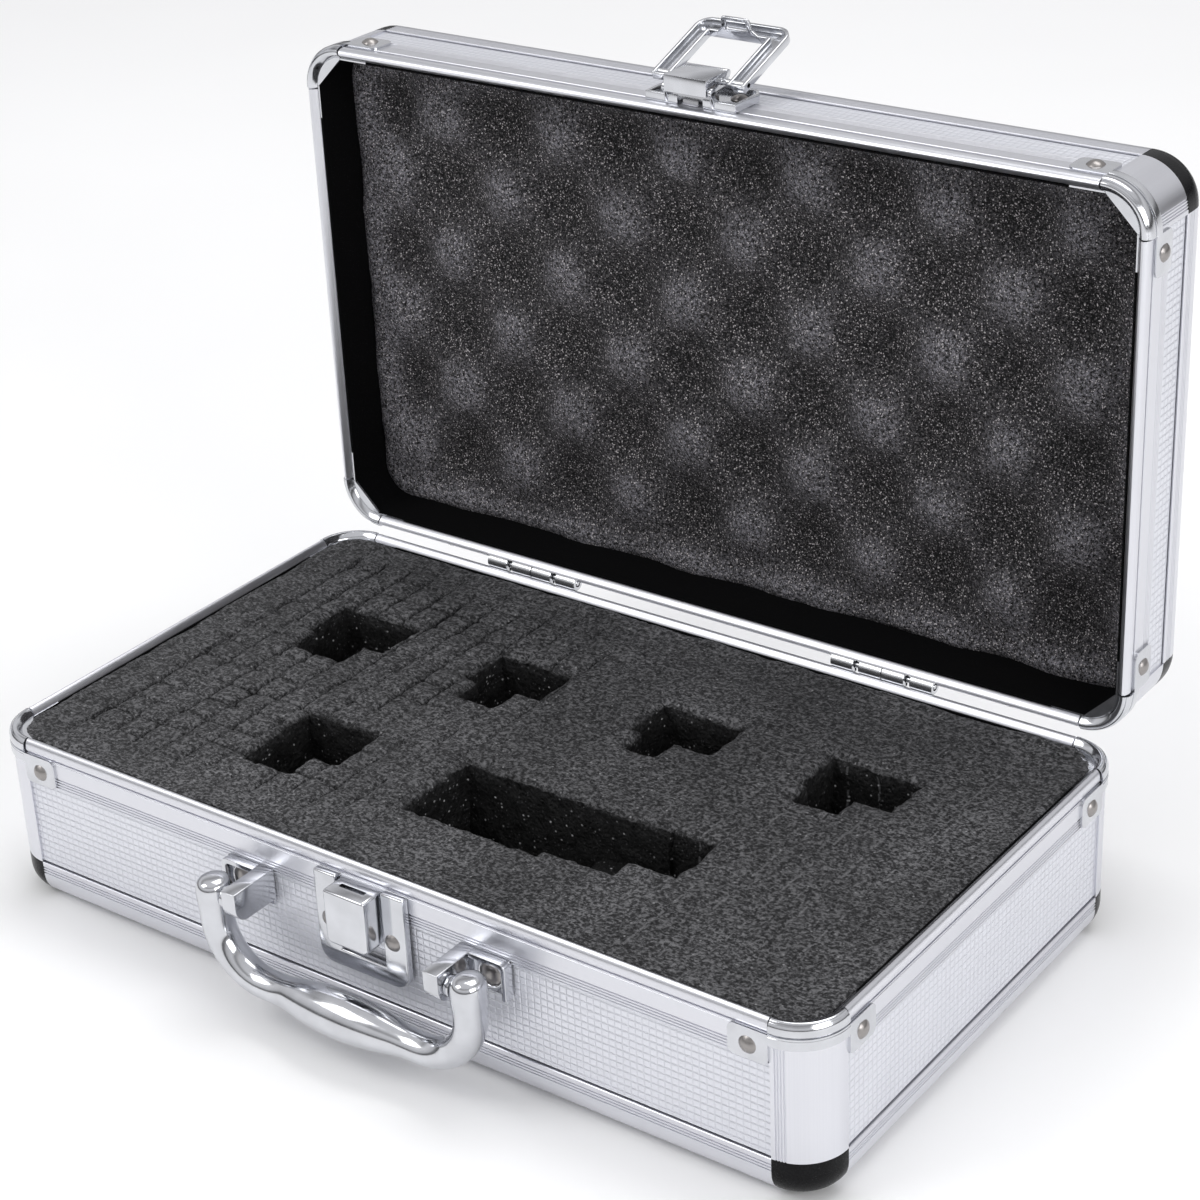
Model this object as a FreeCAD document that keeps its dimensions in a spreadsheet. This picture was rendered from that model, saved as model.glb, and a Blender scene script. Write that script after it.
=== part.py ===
import FreeCAD, Part
import math
import os
import re

# Aluminum attache case, millimetres. +X is the case's width, the handle and latch are on the -Y side, the
# hinges on the +Y side, +Z is up. The origin is the centre of the base's underside. The lid stands open.

SIZES = {
    # outer shell
    "case_width": 265, "case_depth": 150, "base_height": 51, "lid_height": 34, "rim_gap": 0.3,
    "board": 2.4, "board_inset": 0.6, "rim_height": 12.4, "rim_thick": 3.2, "bead_round": 1.4,
    "edge_leg": 12.4, "edge_wall": 3, "edge_round": 8, "floor_round": 2.2,
    "post_round": 13, "post_wall": 1.4, "ball_height": 12, "ball_wall": 3,
    "cap_proud": 0.7, "cap_drop": 7, "cap_wall": 3.2, "cap_round": 1.5, "web_thick": 0.8, "web_drop": 0.8,
    "tab_long": 11, "tab_high": 8.6, "tab_top": 3.8, "lining": 0.5, "lining_gap": 0.1,
    # rivets
    "rivet_head": 2.4, "rivet_crown": 1.1, "rivet_shank": 1.5, "rivet_deep": 3.8,
    "corner_rivet_in": 18.5, "corner_rivet_drop": 8.5,
    # foams
    "foam_drop": 2, "foam_gap": 0.1, "pad_thick": 13.5, "lid_foam_drop": 16,
    # hinges
    "axis_out": 0.55, "axis_up": 1.45, "barrel": 1.5, "hinge_pin": 0.8, "hinge_play": 0.05,
    "hinge_long": 32, "hinge_at": 60, "knuckle_gap": 0.3, "leaf_thick": 0.8, "leaf_high": 18,
    "leaf_drop": 1.4, "notch_play": 0.25, "leaf_rivet_at": 10, "leaf_rivet_in": 6,
    # keeper
    "keeper_half": 14.5, "keeper_low": 20, "keeper_high": 47, "keeper_thick": 2.4, "keeper_round": 4.5,
    "catch_half": 6.65, "catch_low": 31, "catch_high": 46.5, "catch_out": 8, "catch_wall": 1,
    "tongue_low": 24.5, "slot_half": 4, "slot_wide": 1.2, "slot_in": 3, "keeper_rivet_at": 10.3,
    "keeper_rivet_up": 33.4,
    # latch plate, lever and loop; "in" is measured from the lid's rim, "out" from its front face
    "plate_half": 14.2, "plate_in": 2.4, "plate_long": 14.6, "plate_thick": 2.4, "plate_rivet_in": 11,
    "plate_rivet_at": 10, "lobe": 4.2, "ear_half": 6.8, "ear_thick": 1, "ear_reach": 1.7,
    "lever_pin": 0.8, "lever_axis_in": 2, "lever_axis_out": 4.6, "lever_half": 6.6, "lever_wall": 0.8,
    "lever_low": 3.8, "lever_high": 8.3, "lever_front": 0.3, "lever_back": 11, "lip_round": 1.1,
    "spring_half": 2.4, "spring_thick": 0.4,
    "loop_axis_in": 8.4, "loop_axis_out": 6, "loop_pin": 0.9, "loop_tilt": 20, "loop_reach": 21.4,
    "loop_half": 14.6, "loop_bar": 5.4, "loop_thick": 2.4, "loop_web": 0.8, "tongue_high": 4.8,
    "tongue_root": 4.9, "tongue_tip": 4.3, "tongue_thick": 0.9, "tongue_window": 2.4,
    # handle
    "handle_out": 11, "handle_up": 35.5, "arm_at": 41.3, "arm_round": 3.9, "arm_end": 4.6,
    "handle_bend": 16, "grip_drop": 22.8, "grip_fat": 6.2, "grip_near": 5.5, "grip_shoulder": 12,
    "handle_pin": 1.6, "cheek_in": 30.5, "cheek_thick": 4.5, "cheek_low": 31, "cheek_high": 40,
    "cheek_out": 15, "cheek_round": 4.6, "cheek_edge": 0.8, "bracket_end": 46, "bracket_low": 29.3,
    "bracket_thick": 2.4, "bracket_rivet_at": 40.5,
    # feet
    "foot_round": 6.5, "foot_high": 3.2, "foot_at": 96, "base_foot_up": 25, "lid_foot_in": 12,
}

# Each plucked pocket is a list of rectangles on the foam's surface: (low x, low y, high x, high y).
POCKETS = {
    "rear_one": [(-100, 19, -72, 35.5), (-97, 9, -79, 19)],
    "rear_two": [(-42, 20, -17, 36), (-38, 10, -25, 20)],
    "rear_three": [(14, 20, 40, 36), (18, 11, 28, 20)],
    "rear_four": [(68, 20, 95, 36), (70, 12, 84, 20)],
    "front_one": [(-67, -36, -42, -18.5), (-66, -46, -50, -36)],
    "front_two": [(-13, -44, 31, -17)],
    "front_three": [(52, -34, 66, -16)],
}
SHALLOW_POCKET = (31, -41, 52, -17)
SHALLOW_DEEP = 16

doc = FreeCAD.newDocument("attache_case")
sheet = doc.addObject("Spreadsheet::Sheet", "sizes")
for row, (alias, value) in enumerate(SIZES.items(), start=1):
    sheet.set(f"A{row}", alias)
    sheet.set(f"B{row}", str(value))
    sheet.setAlias(f"B{row}", alias)
doc.recompute()

WORDS = re.compile(r"\b(" + "|".join(sorted(SIZES, key=len, reverse=True)) + r")\b")
X, Y, Z = FreeCAD.Vector(1, 0, 0), FreeCAD.Vector(0, 1, 0), FreeCAD.Vector(0, 0, 1)
TURNS = {
    "+z": FreeCAD.Rotation(),
    "+x": FreeCAD.Rotation(Y, 90),
    "+y": FreeCAD.Rotation(X, -90),
    "-y": FreeCAD.Rotation(X, 90),
}


def size(alias):
    """One driving dimension as a plain number."""
    return float(sheet.get(alias))


def bind(obj, path, expression):
    """Binds a property to an expression in the sheet's aliases."""
    obj.setExpression(path, WORDS.sub(r"sizes.\1", str(expression)))


def place(obj, at, turn=None):
    if turn is not None:
        obj.Placement.Rotation = turn
    for axis, expression in zip("xyz", at):
        bind(obj, f"Placement.Base.{axis}", expression)
    return obj


def box(at, to):
    """A box from one corner to the other, both given as expressions."""
    obj = doc.addObject("Part::Box", "box")
    for prop, low, high in zip(("Length", "Width", "Height"), at, to):
        bind(obj, prop, f"({high}) - ({low})")
    return place(obj, at)


def cylinder(at, radius, length, direction="+z", angle=360, start=0):
    obj = doc.addObject("Part::Cylinder", "cylinder")
    bind(obj, "Radius", radius)
    bind(obj, "Height", length)
    obj.Angle = angle
    return place(obj, at, TURNS[direction] * FreeCAD.Rotation(Z, start))


def sphere(at, radius):
    obj = doc.addObject("Part::Sphere", "sphere")
    bind(obj, "Radius", radius)
    return place(obj, at)


def fuse(*parts):
    obj = doc.addObject("Part::MultiFuse", "fuse")
    obj.Shapes = list(parts)
    return obj


def cut(base, *tools):
    obj = doc.addObject("Part::Cut", "cut")
    obj.Base = base
    obj.Tool = tools[0] if len(tools) == 1 else fuse(*tools)
    return obj


def common(base, tool):
    obj = doc.addObject("Part::Common", "common")
    obj.Base, obj.Tool = base, tool
    return obj


def fillet(base, radius, wanted):
    """Rounds the edges that the test picks by their middle point, at a radius in millimetres."""
    doc.recompute()
    picked = []
    for number, edge in enumerate(base.Shape.Edges, start=1):
        middle = edge.valueAt((edge.FirstParameter + edge.LastParameter) / 2)
        if wanted(middle, edge):
            picked.append((number, radius, radius))
    if not picked:
        raise ValueError(f"no edge to round on {base.Name}")
    obj = doc.addObject("Part::Fillet", "fillet")
    obj.Base, obj.Edges = base, picked
    return obj


def turned(obj, angle, at=("0", "0", "0")):
    """The object turned about +Z and moved, as a whole."""
    return place(fuse_one(obj), at, FreeCAD.Rotation(Z, angle))


def fuse_one(obj):
    """A copy of one object that can be placed on its own."""
    wrapped = doc.addObject("Part::Compound", "copy")
    wrapped.Links = [obj]
    return wrapped


def group(*parts):
    obj = doc.addObject("Part::Compound", "group")
    obj.Links = list(parts)
    return obj


nodes = {}


def node(name, obj):
    """Names a finished sub-part; its label is its file's name."""
    obj.Label = name
    nodes[name] = obj
    return obj


# ---------------------------------------------------------------- the tray, used for the base and the lid
# A tray stands on its floor: z = 0 at the outside of its floor panel and its height at the rim. Its hinge
# side is +Y in the base and -Y in the lid, which is the same tray turned over.

HALF_W, HALF_D = "case_width / 2", "case_depth / 2"
CORNERS = [("", "", 0), ("-", "", 90), ("-", "-", 180), ("", "-", 270)]


def wall_pieces(low, high, near, far):
    """The four straight runs between the corners: a box from low to high, near to far from the outside."""
    run_w, run_d = f"{HALF_W} - post_round", f"{HALF_D} - post_round"
    return {
        "minus_y": box((f"-({run_w})", f"-{HALF_D} + {near}", low), (run_w, f"-{HALF_D} + {far}", high)),
        "plus_y": box((f"-({run_w})", f"{HALF_D} - ({far})", low), (run_w, f"{HALF_D} - ({near})", high)),
        "minus_x": box((f"-{HALF_W} + {near}", f"-({run_d})", low), (f"-{HALF_W} + {far}", run_d, high)),
        "plus_x": box((f"{HALF_W} - ({far})", f"-({run_d})", low), (f"{HALF_W} - ({near})", run_d, high)),
    }


def outward(side):
    return {"minus_y": (1, -1), "plus_y": (1, 1), "minus_x": (0, -1), "plus_x": (0, 1)}[side]


def rim_profile(blank, side, height):
    """A rim's top edges are rounded along its whole length."""
    along = outward(side)[0] == 1
    top = size(height)
    return fillet(blank, size("bead_round"), lambda p, e: p.z > top - 0.01
                  and abs(e.Vertexes[0].Point[0 if along else 1] - e.Vertexes[-1].Point[0 if along else 1]) > 1)


def edge_profile(side):
    """An angle with an R8 outer corner, as the lower edge of one wall."""
    axis, sign = outward(side)
    outer = wall_pieces("0", "edge_leg", "0", "edge_leg")[side]
    face = sign * (size("case_depth") if axis else size("case_width")) / 2
    rounded = fillet(outer, size("edge_round"), lambda p, e: p.z < 0.01 and abs(p[axis] - face) < 0.01)
    inner = wall_pieces("edge_wall", "edge_leg", "edge_wall", "edge_leg")[side]
    return cut(rounded, inner)


def at_corner(obj, sign_x, sign_y, angle):
    at = (f"{sign_x}({HALF_W} - post_round)", f"{sign_y}({HALF_D} - post_round)", "0")
    return turned(obj, angle, at)


def corner_posts(height):
    outer = cylinder(("0", "0", "ball_height"), "post_round", f"{height} - cap_drop - ball_height", angle=90)
    inner = cylinder(("0", "0", "ball_height"), "post_round - post_wall", f"{height} - cap_drop", angle=90)
    post = cut(outer, inner)
    return group(*[at_corner(post, *corner) for corner in CORNERS])


def ball_corners():
    outer = cylinder(("0", "0", "0"), "post_round", "ball_height", angle=90)
    reach = size("post_round")
    ball = fillet(outer, size("edge_round"),
                  lambda p, e: p.z < 0.01 and abs(math.hypot(p.x, p.y) - reach) < 0.1)
    hollow = cylinder(("0", "0", "ball_wall"), "post_round - ball_wall", "ball_height", angle=90)
    shell = cut(ball, hollow)
    return group(*[at_corner(shell, *corner) for corner in CORNERS])


def rim_caps(height):
    """The chromed corner pieces: a rounded ring quarter, a web inside it and a tab along each wall."""
    low = f"{height} - cap_drop"
    ring = cylinder(("0", "0", low), "post_round + cap_proud", "cap_drop", angle=90)
    reach, top = size("post_round") + size("cap_proud"), size(height)
    ring = fillet(ring, size("cap_round"),
                  lambda p, e: p.z > top - 0.01 and abs(math.hypot(p.x, p.y) - reach) < 0.1)
    ring = cut(ring, cylinder(("0", "0", f"{low} - 1"), "post_round - cap_wall", "cap_drop + 2", angle=90))
    web_low = f"{height} - web_drop - web_thick"
    web = cylinder(("0", "0", web_low), "post_round - cap_wall + 0.5", "web_thick", angle=90)
    inside = doc.addObject("Part::Box", "box")
    for prop, expression in (("Length", "30"), ("Width", "30"), ("Height", "4")):
        bind(inside, prop, expression)
    place(inside, ("0", "post_round - cap_wall", f"{web_low} - 1"), FreeCAD.Rotation(Z, 225))
    web = cut(web, inside)
    tab_z = (f"{height} - tab_top - tab_high", f"{height} - tab_top")
    face = "post_round + cap_proud"
    tab_x = box(("-tab_long", "post_round", tab_z[0]), ("0.01", face, tab_z[1]))
    tab_y = box(("post_round", "-tab_long", tab_z[0]), (face, "0.01", tab_z[1]))
    cap = fuse(ring, web, tab_x, tab_y)
    return group(*[at_corner(cap, *corner) for corner in CORNERS])


def rivet(at, facing):
    """A domed head on a short shank; facing is the side its head looks to."""
    axis, sign = {"x": 0, "y": 1}[facing[1]], -1 if facing[0] == "-" else 1
    direction = {0: "+x", 1: "+y"}[axis]
    shank_at, ball_at, half_at = list(at), list(at), list(at)
    shank_at[axis] = f"({at[axis]}) - rivet_deep" if sign > 0 else at[axis]
    dome = "(rivet_head * rivet_head + rivet_crown * rivet_crown) / (2 * rivet_crown)"
    ball_at[axis] = f"({at[axis]}) + {sign} * (rivet_crown - {dome})"
    half_at[axis] = at[axis] if sign > 0 else f"({at[axis]}) - rivet_crown - 1"
    shank = cylinder(shank_at, "rivet_shank", "rivet_deep", direction)
    head = common(sphere(ball_at, dome), cylinder(half_at, "rivet_head", "rivet_crown + 1", direction))
    return fuse(shank, head)


def corner_rivets(height):
    rivets = []
    for sign_x, sign_y, _ in CORNERS:
        level = f"{height} - corner_rivet_drop"
        side_x, side_y = sign_x or "+", sign_y or "+"
        rivets.append(rivet((f"{sign_x}({HALF_W} - corner_rivet_in)", f"{sign_y}({HALF_D} + cap_proud)", level),
                            side_y + "y"))
        rivets.append(rivet((f"{sign_x}({HALF_W} + cap_proud)", f"{sign_y}({HALF_D} - corner_rivet_in)", level),
                            side_x + "x"))
    return group(*rivets)


def round_block(inset, low, high):
    """A block that fills the tray at an inset, given as a list of aliases, with rounded upright corners."""
    inward = " + ".join(inset)
    half_w, half_d = f"({HALF_W} - ({inward}))", f"({HALF_D} - ({inward}))"
    block = box((f"-{half_w}", f"-{half_d}", low), (half_w, half_d, high))
    radius = size("post_round") - sum(size(alias) for alias in inset)
    return fillet(block, radius, lambda p, e: abs(e.Vertexes[0].Z - e.Vertexes[-1].Z) > 0.5)


def lining(height):
    """A thin open box against the rims, the profiles and the floor panel."""
    top = f"{height} - web_drop - web_thick - 0.2"
    outer = round_block(["rim_thick", "lining_gap"], "edge_wall + lining_gap", top)
    inner = round_block(["rim_thick", "lining_gap", "lining"], "edge_wall + lining_gap + lining", height)
    return cut(outer, inner)


SIDES = {
    "base": {"front": "minus_y", "rear": "plus_y", "left": "minus_x", "right": "plus_x"},
    "lid": {"front": "plus_y", "rear": "minus_y", "left": "minus_x", "right": "plus_x"},
}


def hinge_notches():
    """Room for the two hinge barrels in the lid's rear rim, in the lid's own frame."""
    at = (f"-({HALF_D} + axis_out)", "lid_height + rim_gap - axis_up")
    return [cylinder((f"{sign}hinge_at - hinge_long / 2 - 0.5", *at), "barrel + notch_play", "hinge_long + 1", "+x")
            for sign in ("", "-")]


def build_tray(tray, height):
    """All the shell's pieces of one tray, by node name."""
    made = {}
    inner_w, inner_d = f"{HALF_W} - edge_leg", f"{HALF_D} - edge_leg"
    floor = "bottom_panel" if tray == "base" else "top_panel"
    flat_board = box((f"-({inner_w})", f"-({inner_d})", "0"), (inner_w, inner_d, "board"))
    made[floor] = fillet(flat_board, size("floor_round"), lambda p, e: abs(e.Vertexes[0].Z - e.Vertexes[-1].Z) > 0.5)
    rims = wall_pieces(f"{height} - rim_height", height, "0", "rim_thick")
    boards = wall_pieces("edge_leg", f"{height} - rim_height", "board_inset", "board_inset + board")
    for name, side in SIDES[tray].items():
        made[f"{name}_panel"] = boards[side]
        rim = rim_profile(rims[side], side, height)
        made[f"{name}_rim"] = cut(rim, *hinge_notches()) if (tray, name) == ("lid", "rear") else rim
        made[f"{name}_edge_profile"] = edge_profile(side)
    made["corner_posts"] = corner_posts(height)
    made["ball_corners"] = ball_corners()
    made["rim_corners"] = rim_caps(height)
    made["corner_rivets"] = corner_rivets(height)
    made["lining"] = lining(height)
    return made


def hinge_leaves(tray):
    """Two leaves of one tray: a plate on the rear wall and every second knuckle of each barrel."""
    first = 0 if tray == "base" else 1
    leaves = []
    for sign in ("", "-"):
        start = f"{sign}hinge_at - hinge_long / 2"
        plate_z = ("0 - axis_up - leaf_drop - leaf_high", "0 - axis_up - leaf_drop")
        if tray == "lid":
            plate_z = ("leaf_drop + axis_up - rim_gap", "leaf_drop + axis_up - rim_gap + leaf_high")
        plate = box((start, "0 - axis_out", plate_z[0]), (f"{start} + hinge_long", "leaf_thick - axis_out", plate_z[1]))
        pieces = [plate]
        for count in (first, first + 2):
            low = f"{start} + {count} * hinge_long / 4 + knuckle_gap / 2"
            long = "(hinge_long / 4 - knuckle_gap)"
            pieces.append(cylinder((low, "0", "0"), "barrel", long, "+x"))
            web = ("0", plate_z[0]) if tray == "lid" else (plate_z[1], "0")
            pieces.append(box((low, "0 - axis_out", web[0]), (f"{low} + {long}", "leaf_thick - axis_out", web[1])))
        bore = cylinder((f"{start} - 1", "0", "0"), "hinge_pin + hinge_play", "hinge_long + 2", "+x")
        leaves.append(cut(fuse(*pieces), bore))
    return group(*leaves)


# ---------------------------------------------------------------- places of the two trays and their joints

HINGE_Y = f"{HALF_D} + axis_out"
HINGE_Z = "base_height + axis_up"
# The lid is built as a tray, turned over onto the base, and opened a quarter turn about the hinge axis.
LID_Y = f"({HINGE_Y}) - ({HINGE_Z}) + base_height + rim_gap + lid_height"
LID_Z = f"({HINGE_Y}) + ({HINGE_Z})"
LID_TURN = FreeCAD.Rotation(X, 90)


def lid_node(name, obj):
    return node(name, place(fuse_one(obj), ("0", LID_Y, LID_Z), LID_TURN))


for name, piece in build_tray("base", "base_height").items():
    node(f"base_{name}", piece)
for name, piece in build_tray("lid", "lid_height").items():
    lid_node(f"lid_{name}", piece)

# ---------------------------------------------------------------- foams
FOAM_INSET = ["rim_thick", "lining_gap", "lining", "foam_gap"]
PAD_LOW = "edge_wall + lining_gap + lining + 0.1"
PAD_HIGH = f"{PAD_LOW} + pad_thick"
FOAM_TOP = "base_height - foam_drop"


def pocket(rect, low):
    return box((str(rect[0]), str(rect[1]), low), (str(rect[2]), str(rect[3]), "base_height"))


foam_pad = round_block(FOAM_INSET, PAD_LOW, PAD_HIGH)
node("base_foam_pad", foam_pad)
foam_block = round_block(FOAM_INSET, f"{PAD_HIGH} + 0.1", FOAM_TOP)
pocket_tools = [pocket(rect, PAD_HIGH) for rects in POCKETS.values() for rect in rects]
pocket_tools.append(pocket(SHALLOW_POCKET, f"{FOAM_TOP} - {SHALLOW_DEEP}"))
node("base_foam_block", cut(foam_block, *pocket_tools))
lid_node("lid_wave_foam", round_block(FOAM_INSET, PAD_LOW, "lid_height - lid_foam_drop"))

# ---------------------------------------------------------------- hinges
HINGE_AT = ("0", HINGE_Y, HINGE_Z)
node("base_hinge_leaves", place(hinge_leaves("base"), HINGE_AT))
lid_leaves = place(fuse_one(hinge_leaves("lid")), HINGE_AT, FreeCAD.Rotation(X, -90))
node("lid_hinge_leaves", lid_leaves)
pins = [cylinder((f"{sign}hinge_at - hinge_long / 2", HINGE_Y, HINGE_Z), "hinge_pin", "hinge_long", "+x")
        for sign in ("", "-")]
node("hinge_pins", group(*pins))
LEAF_FACE = f"{HALF_D} + leaf_thick"
base_leaf_rivets, lid_leaf_rivets = [], []
for side in ("", "-"):
    for end in ("+", "-"):
        across = f"{side}hinge_at {end} leaf_rivet_at"
        base_leaf_rivets.append(rivet((across, LEAF_FACE, "base_height - leaf_drop - leaf_rivet_in"), "+y"))
        lid_leaf_rivets.append(rivet((across, f"-({LEAF_FACE})", "lid_height - leaf_drop - leaf_rivet_in"), "-y"))
node("base_leaf_rivets", group(*base_leaf_rivets))
lid_node("lid_leaf_rivets", group(*lid_leaf_rivets))

# ---------------------------------------------------------------- rubber feet on the rear walls
BOARD_FACE = f"{HALF_D} - board_inset"
base_feet = [cylinder((f"{side}foot_at", BOARD_FACE, "base_foot_up"), "foot_round", "foot_high", "+y")
             for side in ("", "-")]
node("base_rear_feet", group(*base_feet))
lid_feet = [cylinder((f"{side}foot_at", f"-{HALF_D}", "lid_height - lid_foot_in"), "foot_round", "foot_high", "-y")
            for side in ("", "-")]
lid_node("lid_rear_feet", group(*lid_feet))

# ---------------------------------------------------------------- keeper on the front wall of the base
FRONT = f"(-{HALF_D})"
plate = box(("-keeper_half", f"{FRONT} - keeper_thick", "keeper_low"), ("keeper_half", FRONT, "keeper_high"))
keeper_bottom = size("keeper_low")
plate = fillet(plate, size("keeper_round"), lambda p, e: p.z < keeper_bottom + 0.01
               and abs(e.Vertexes[0].Y - e.Vertexes[-1].Y) > 1)
catch = box(("-catch_half", f"{FRONT} - catch_out", "catch_low"), ("catch_half", f"{FRONT} - keeper_thick", "catch_high"))
hollow = box(("-(catch_half - catch_wall)", f"{FRONT} - catch_out + catch_wall", "tongue_low"),
             ("catch_half - catch_wall", f"{FRONT} + 1", "catch_high - catch_wall"))
slot = box(("-slot_half", f"{FRONT} - slot_in - slot_wide", "catch_high - 2"),
           ("slot_half", f"{FRONT} - slot_in", "catch_high + 1"))
node("latch_keeper", cut(fuse(plate, catch), hollow, slot))
keeper_rivets = [rivet((f"{side}keeper_rivet_at", f"{FRONT} - keeper_thick", "keeper_rivet_up"), "-y")
                 for side in ("", "-")]
node("keeper_rivets", group(*keeper_rivets))

# ---------------------------------------------------------------- latch on the front wall of the lid
# In the open lid, "in" from the rim runs along +Y and "out" from the front face along +Z.
RIM_Y = f"({HINGE_Y}) - axis_up + rim_gap"
FACE_Z = f"({HINGE_Z}) + ({HINGE_Y}) + {HALF_D}"


def on_lid(across, inward, out):
    return (across, f"{RIM_Y} + ({inward})", f"{FACE_Z} + ({out})")


latch_base = box(on_lid("-plate_half", "plate_in", "0"), on_lid("plate_half", "plate_in + plate_long", "plate_thick"))
plate_end = size("case_depth") / 2 + size("plate_in") + size("plate_long") / 2
latch_base = fillet(latch_base, size("lobe"), lambda p, e: p.y > plate_end
                    and abs(e.Vertexes[0].Z - e.Vertexes[-1].Z) > 1)
ears = [box(on_lid(low, "lever_axis_in - ear_reach", "0"), on_lid(high, "lever_axis_in + ear_reach",
                                                                  "lever_axis_out + ear_reach - 0.4"))
        for low, high in (("ear_half", "ear_half + ear_thick"), ("-(ear_half + ear_thick)", "-ear_half"))]
notch = box(on_lid("-4", "0", "-1"), on_lid("4", "plate_in + 2.6", "plate_thick + 1"))
pin_bore = cylinder(on_lid("-10", "lever_axis_in", "lever_axis_out"), "lever_pin", "20", "+x")
node("latch_plate", cut(fuse(latch_base, *ears), notch, pin_bore))
node("latch_lever_pin", cylinder(on_lid("-(ear_half + ear_thick)", "lever_axis_in", "lever_axis_out"), "lever_pin",
                                 "2 * (ear_half + ear_thick)", "+x"))
plate_rivets = [rivet((f"{side}plate_rivet_at", f"{HALF_D} + plate_thick", "lid_height - plate_rivet_in"), "+y")
                for side in ("", "-")]
lid_node("latch_plate_rivets", group(*plate_rivets))
spring_foot = box(on_lid("-spring_half", "plate_in + 0.4", "0"), on_lid("spring_half", "plate_in + 2.4", "spring_thick"))
spring_rise = box(on_lid("-spring_half", "plate_in + 0.4", "0"),
                  on_lid("spring_half", "plate_in + 0.4 + spring_thick", "plate_thick - 0.6"))
spring_top = box(on_lid("-spring_half", "plate_in + 0.4", "plate_thick - 0.6 - spring_thick"),
                 on_lid("spring_half", "plate_in + 1.8", "plate_thick - 0.6"))
node("latch_spring", fuse(spring_foot, spring_rise, spring_top))

lever_body = box(on_lid("-lever_half", "lever_front", "lever_low"), on_lid("lever_half", "lever_back", "lever_high"))
lever_room = box(on_lid("-(lever_half - lever_wall)", "lever_front + lever_wall", "lever_low - 1"),
                 on_lid("lever_half - lever_wall", "lever_back + 1", "lever_high - lever_wall"))
lever_lip = cylinder(on_lid("-lever_half", "lever_back", "lever_high - lip_round + 0.3"), "lip_round",
                     "2 * lever_half", "+x")
lever_bore = cylinder(on_lid("-10", "lever_axis_in", "lever_axis_out"), "lever_pin + hinge_play", "20", "+x")
loop_bore = cylinder(on_lid("-10", "loop_axis_in", "loop_axis_out"), "loop_pin", "20", "+x")
node("latch_lever", cut(fuse(cut(lever_body, lever_room), lever_lip), lever_bore, loop_bore))

# The loop is built flat, its axis at the origin and its free end along +Y, then tilted up.
loop_frame = box(("-loop_half", "0 - loop_pin - 1.2", "-loop_thick / 2"),
                 ("loop_half", "loop_reach + loop_bar / 2", "loop_thick / 2"))
loop_frame = fillet(loop_frame, size("lobe"), lambda p, e: p.y > size("loop_reach")
                    and abs(e.Vertexes[0].Z - e.Vertexes[-1].Z) > 1)
window = box(("-(loop_half - loop_bar)", "0 - loop_pin - 5", "-loop_thick"),
             ("loop_half - loop_bar", "loop_reach - loop_bar / 2", "loop_thick"))
channel_outer = box(("-(loop_half - loop_web)", "-1.6", "loop_web - loop_thick / 2"),
                    ("loop_half - loop_web", "loop_reach + loop_bar / 2 - loop_web", "loop_thick"))
channel_outer = fillet(channel_outer, size("lobe") - size("loop_web"), lambda p, e: p.y > size("loop_reach")
                       and abs(e.Vertexes[0].Z - e.Vertexes[-1].Z) > 1)
channel = cut(channel_outer,
              box(("-(loop_half - loop_bar + loop_web)", "-8", "-loop_thick"),
                  ("loop_half - loop_bar + loop_web", "loop_reach - loop_bar / 2 + loop_web", "2 * loop_thick")))
tongue_y = "loop_reach - loop_bar / 2"
tongue = box(("-tongue_root", tongue_y, "-loop_thick / 2"),
             ("tongue_root", f"{tongue_y} + tongue_thick", "loop_thick / 2 + tongue_high"))
tongue_hole = box(("-tongue_window", f"{tongue_y} - 1", "loop_thick / 2 + 0.6"),
                  ("tongue_window", f"{tongue_y} + 2", "loop_thick / 2 + tongue_high - 1"))
loop_hole = cylinder(("-20", "0", "0"), "loop_pin + hinge_play", "40", "+x")
loop = cut(fuse(cut(loop_frame, window, channel), tongue), tongue_hole, loop_hole)
LOOP_AT = on_lid("0", "loop_axis_in", "loop_axis_out")
node("latch_loop", place(fuse_one(loop), LOOP_AT, FreeCAD.Rotation(X, size("loop_tilt"))))
node("latch_loop_pin", cylinder(on_lid("-loop_half", "loop_axis_in", "loop_axis_out"), "loop_pin",
                                "2 * loop_half", "+x"))

# ---------------------------------------------------------------- handle on the front wall of the base
PIVOT_Y = f"{FRONT} - handle_out"
BEND_Z = "handle_up - grip_drop + handle_bend"
BEND_X = "(arm_at - handle_bend)"
handle_parts = []
grip_steps = [(f"-{BEND_X}", "arm_round"), ("-grip_shoulder", "grip_near"), ("0", "grip_fat"),
              ("grip_shoulder", "grip_near"), (BEND_X, "arm_round")]
for (low, low_radius), (high, high_radius) in zip(grip_steps, grip_steps[1:]):
    swell = doc.addObject("Part::Cone", "swell")
    bind(swell, "Radius1", low_radius)
    bind(swell, "Radius2", high_radius)
    bind(swell, "Height", f"{high} - ({low})")
    handle_parts.append(place(swell, (low, PIVOT_Y, "handle_up - grip_drop"), TURNS["+x"]))
for side, sign in (("", 1), ("-", -1)):
    handle_parts.append(cylinder((f"{side}arm_at", PIVOT_Y, BEND_Z), "arm_round", "grip_drop - handle_bend"))
    handle_parts.append(sphere((f"{side}arm_at", PIVOT_Y, "handle_up"), "arm_end"))
    bend = doc.addObject("Part::Torus", "bend")
    bind(bend, "Radius1", "handle_bend")
    bind(bend, "Radius2", "arm_round")
    bend.Angle3 = 90
    turn = FreeCAD.Rotation(X, 90) * FreeCAD.Rotation(Z, -90 if sign > 0 else 180)
    handle_parts.append(place(bend, (f"{side}{BEND_X}", PIVOT_Y, BEND_Z), turn))
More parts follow.
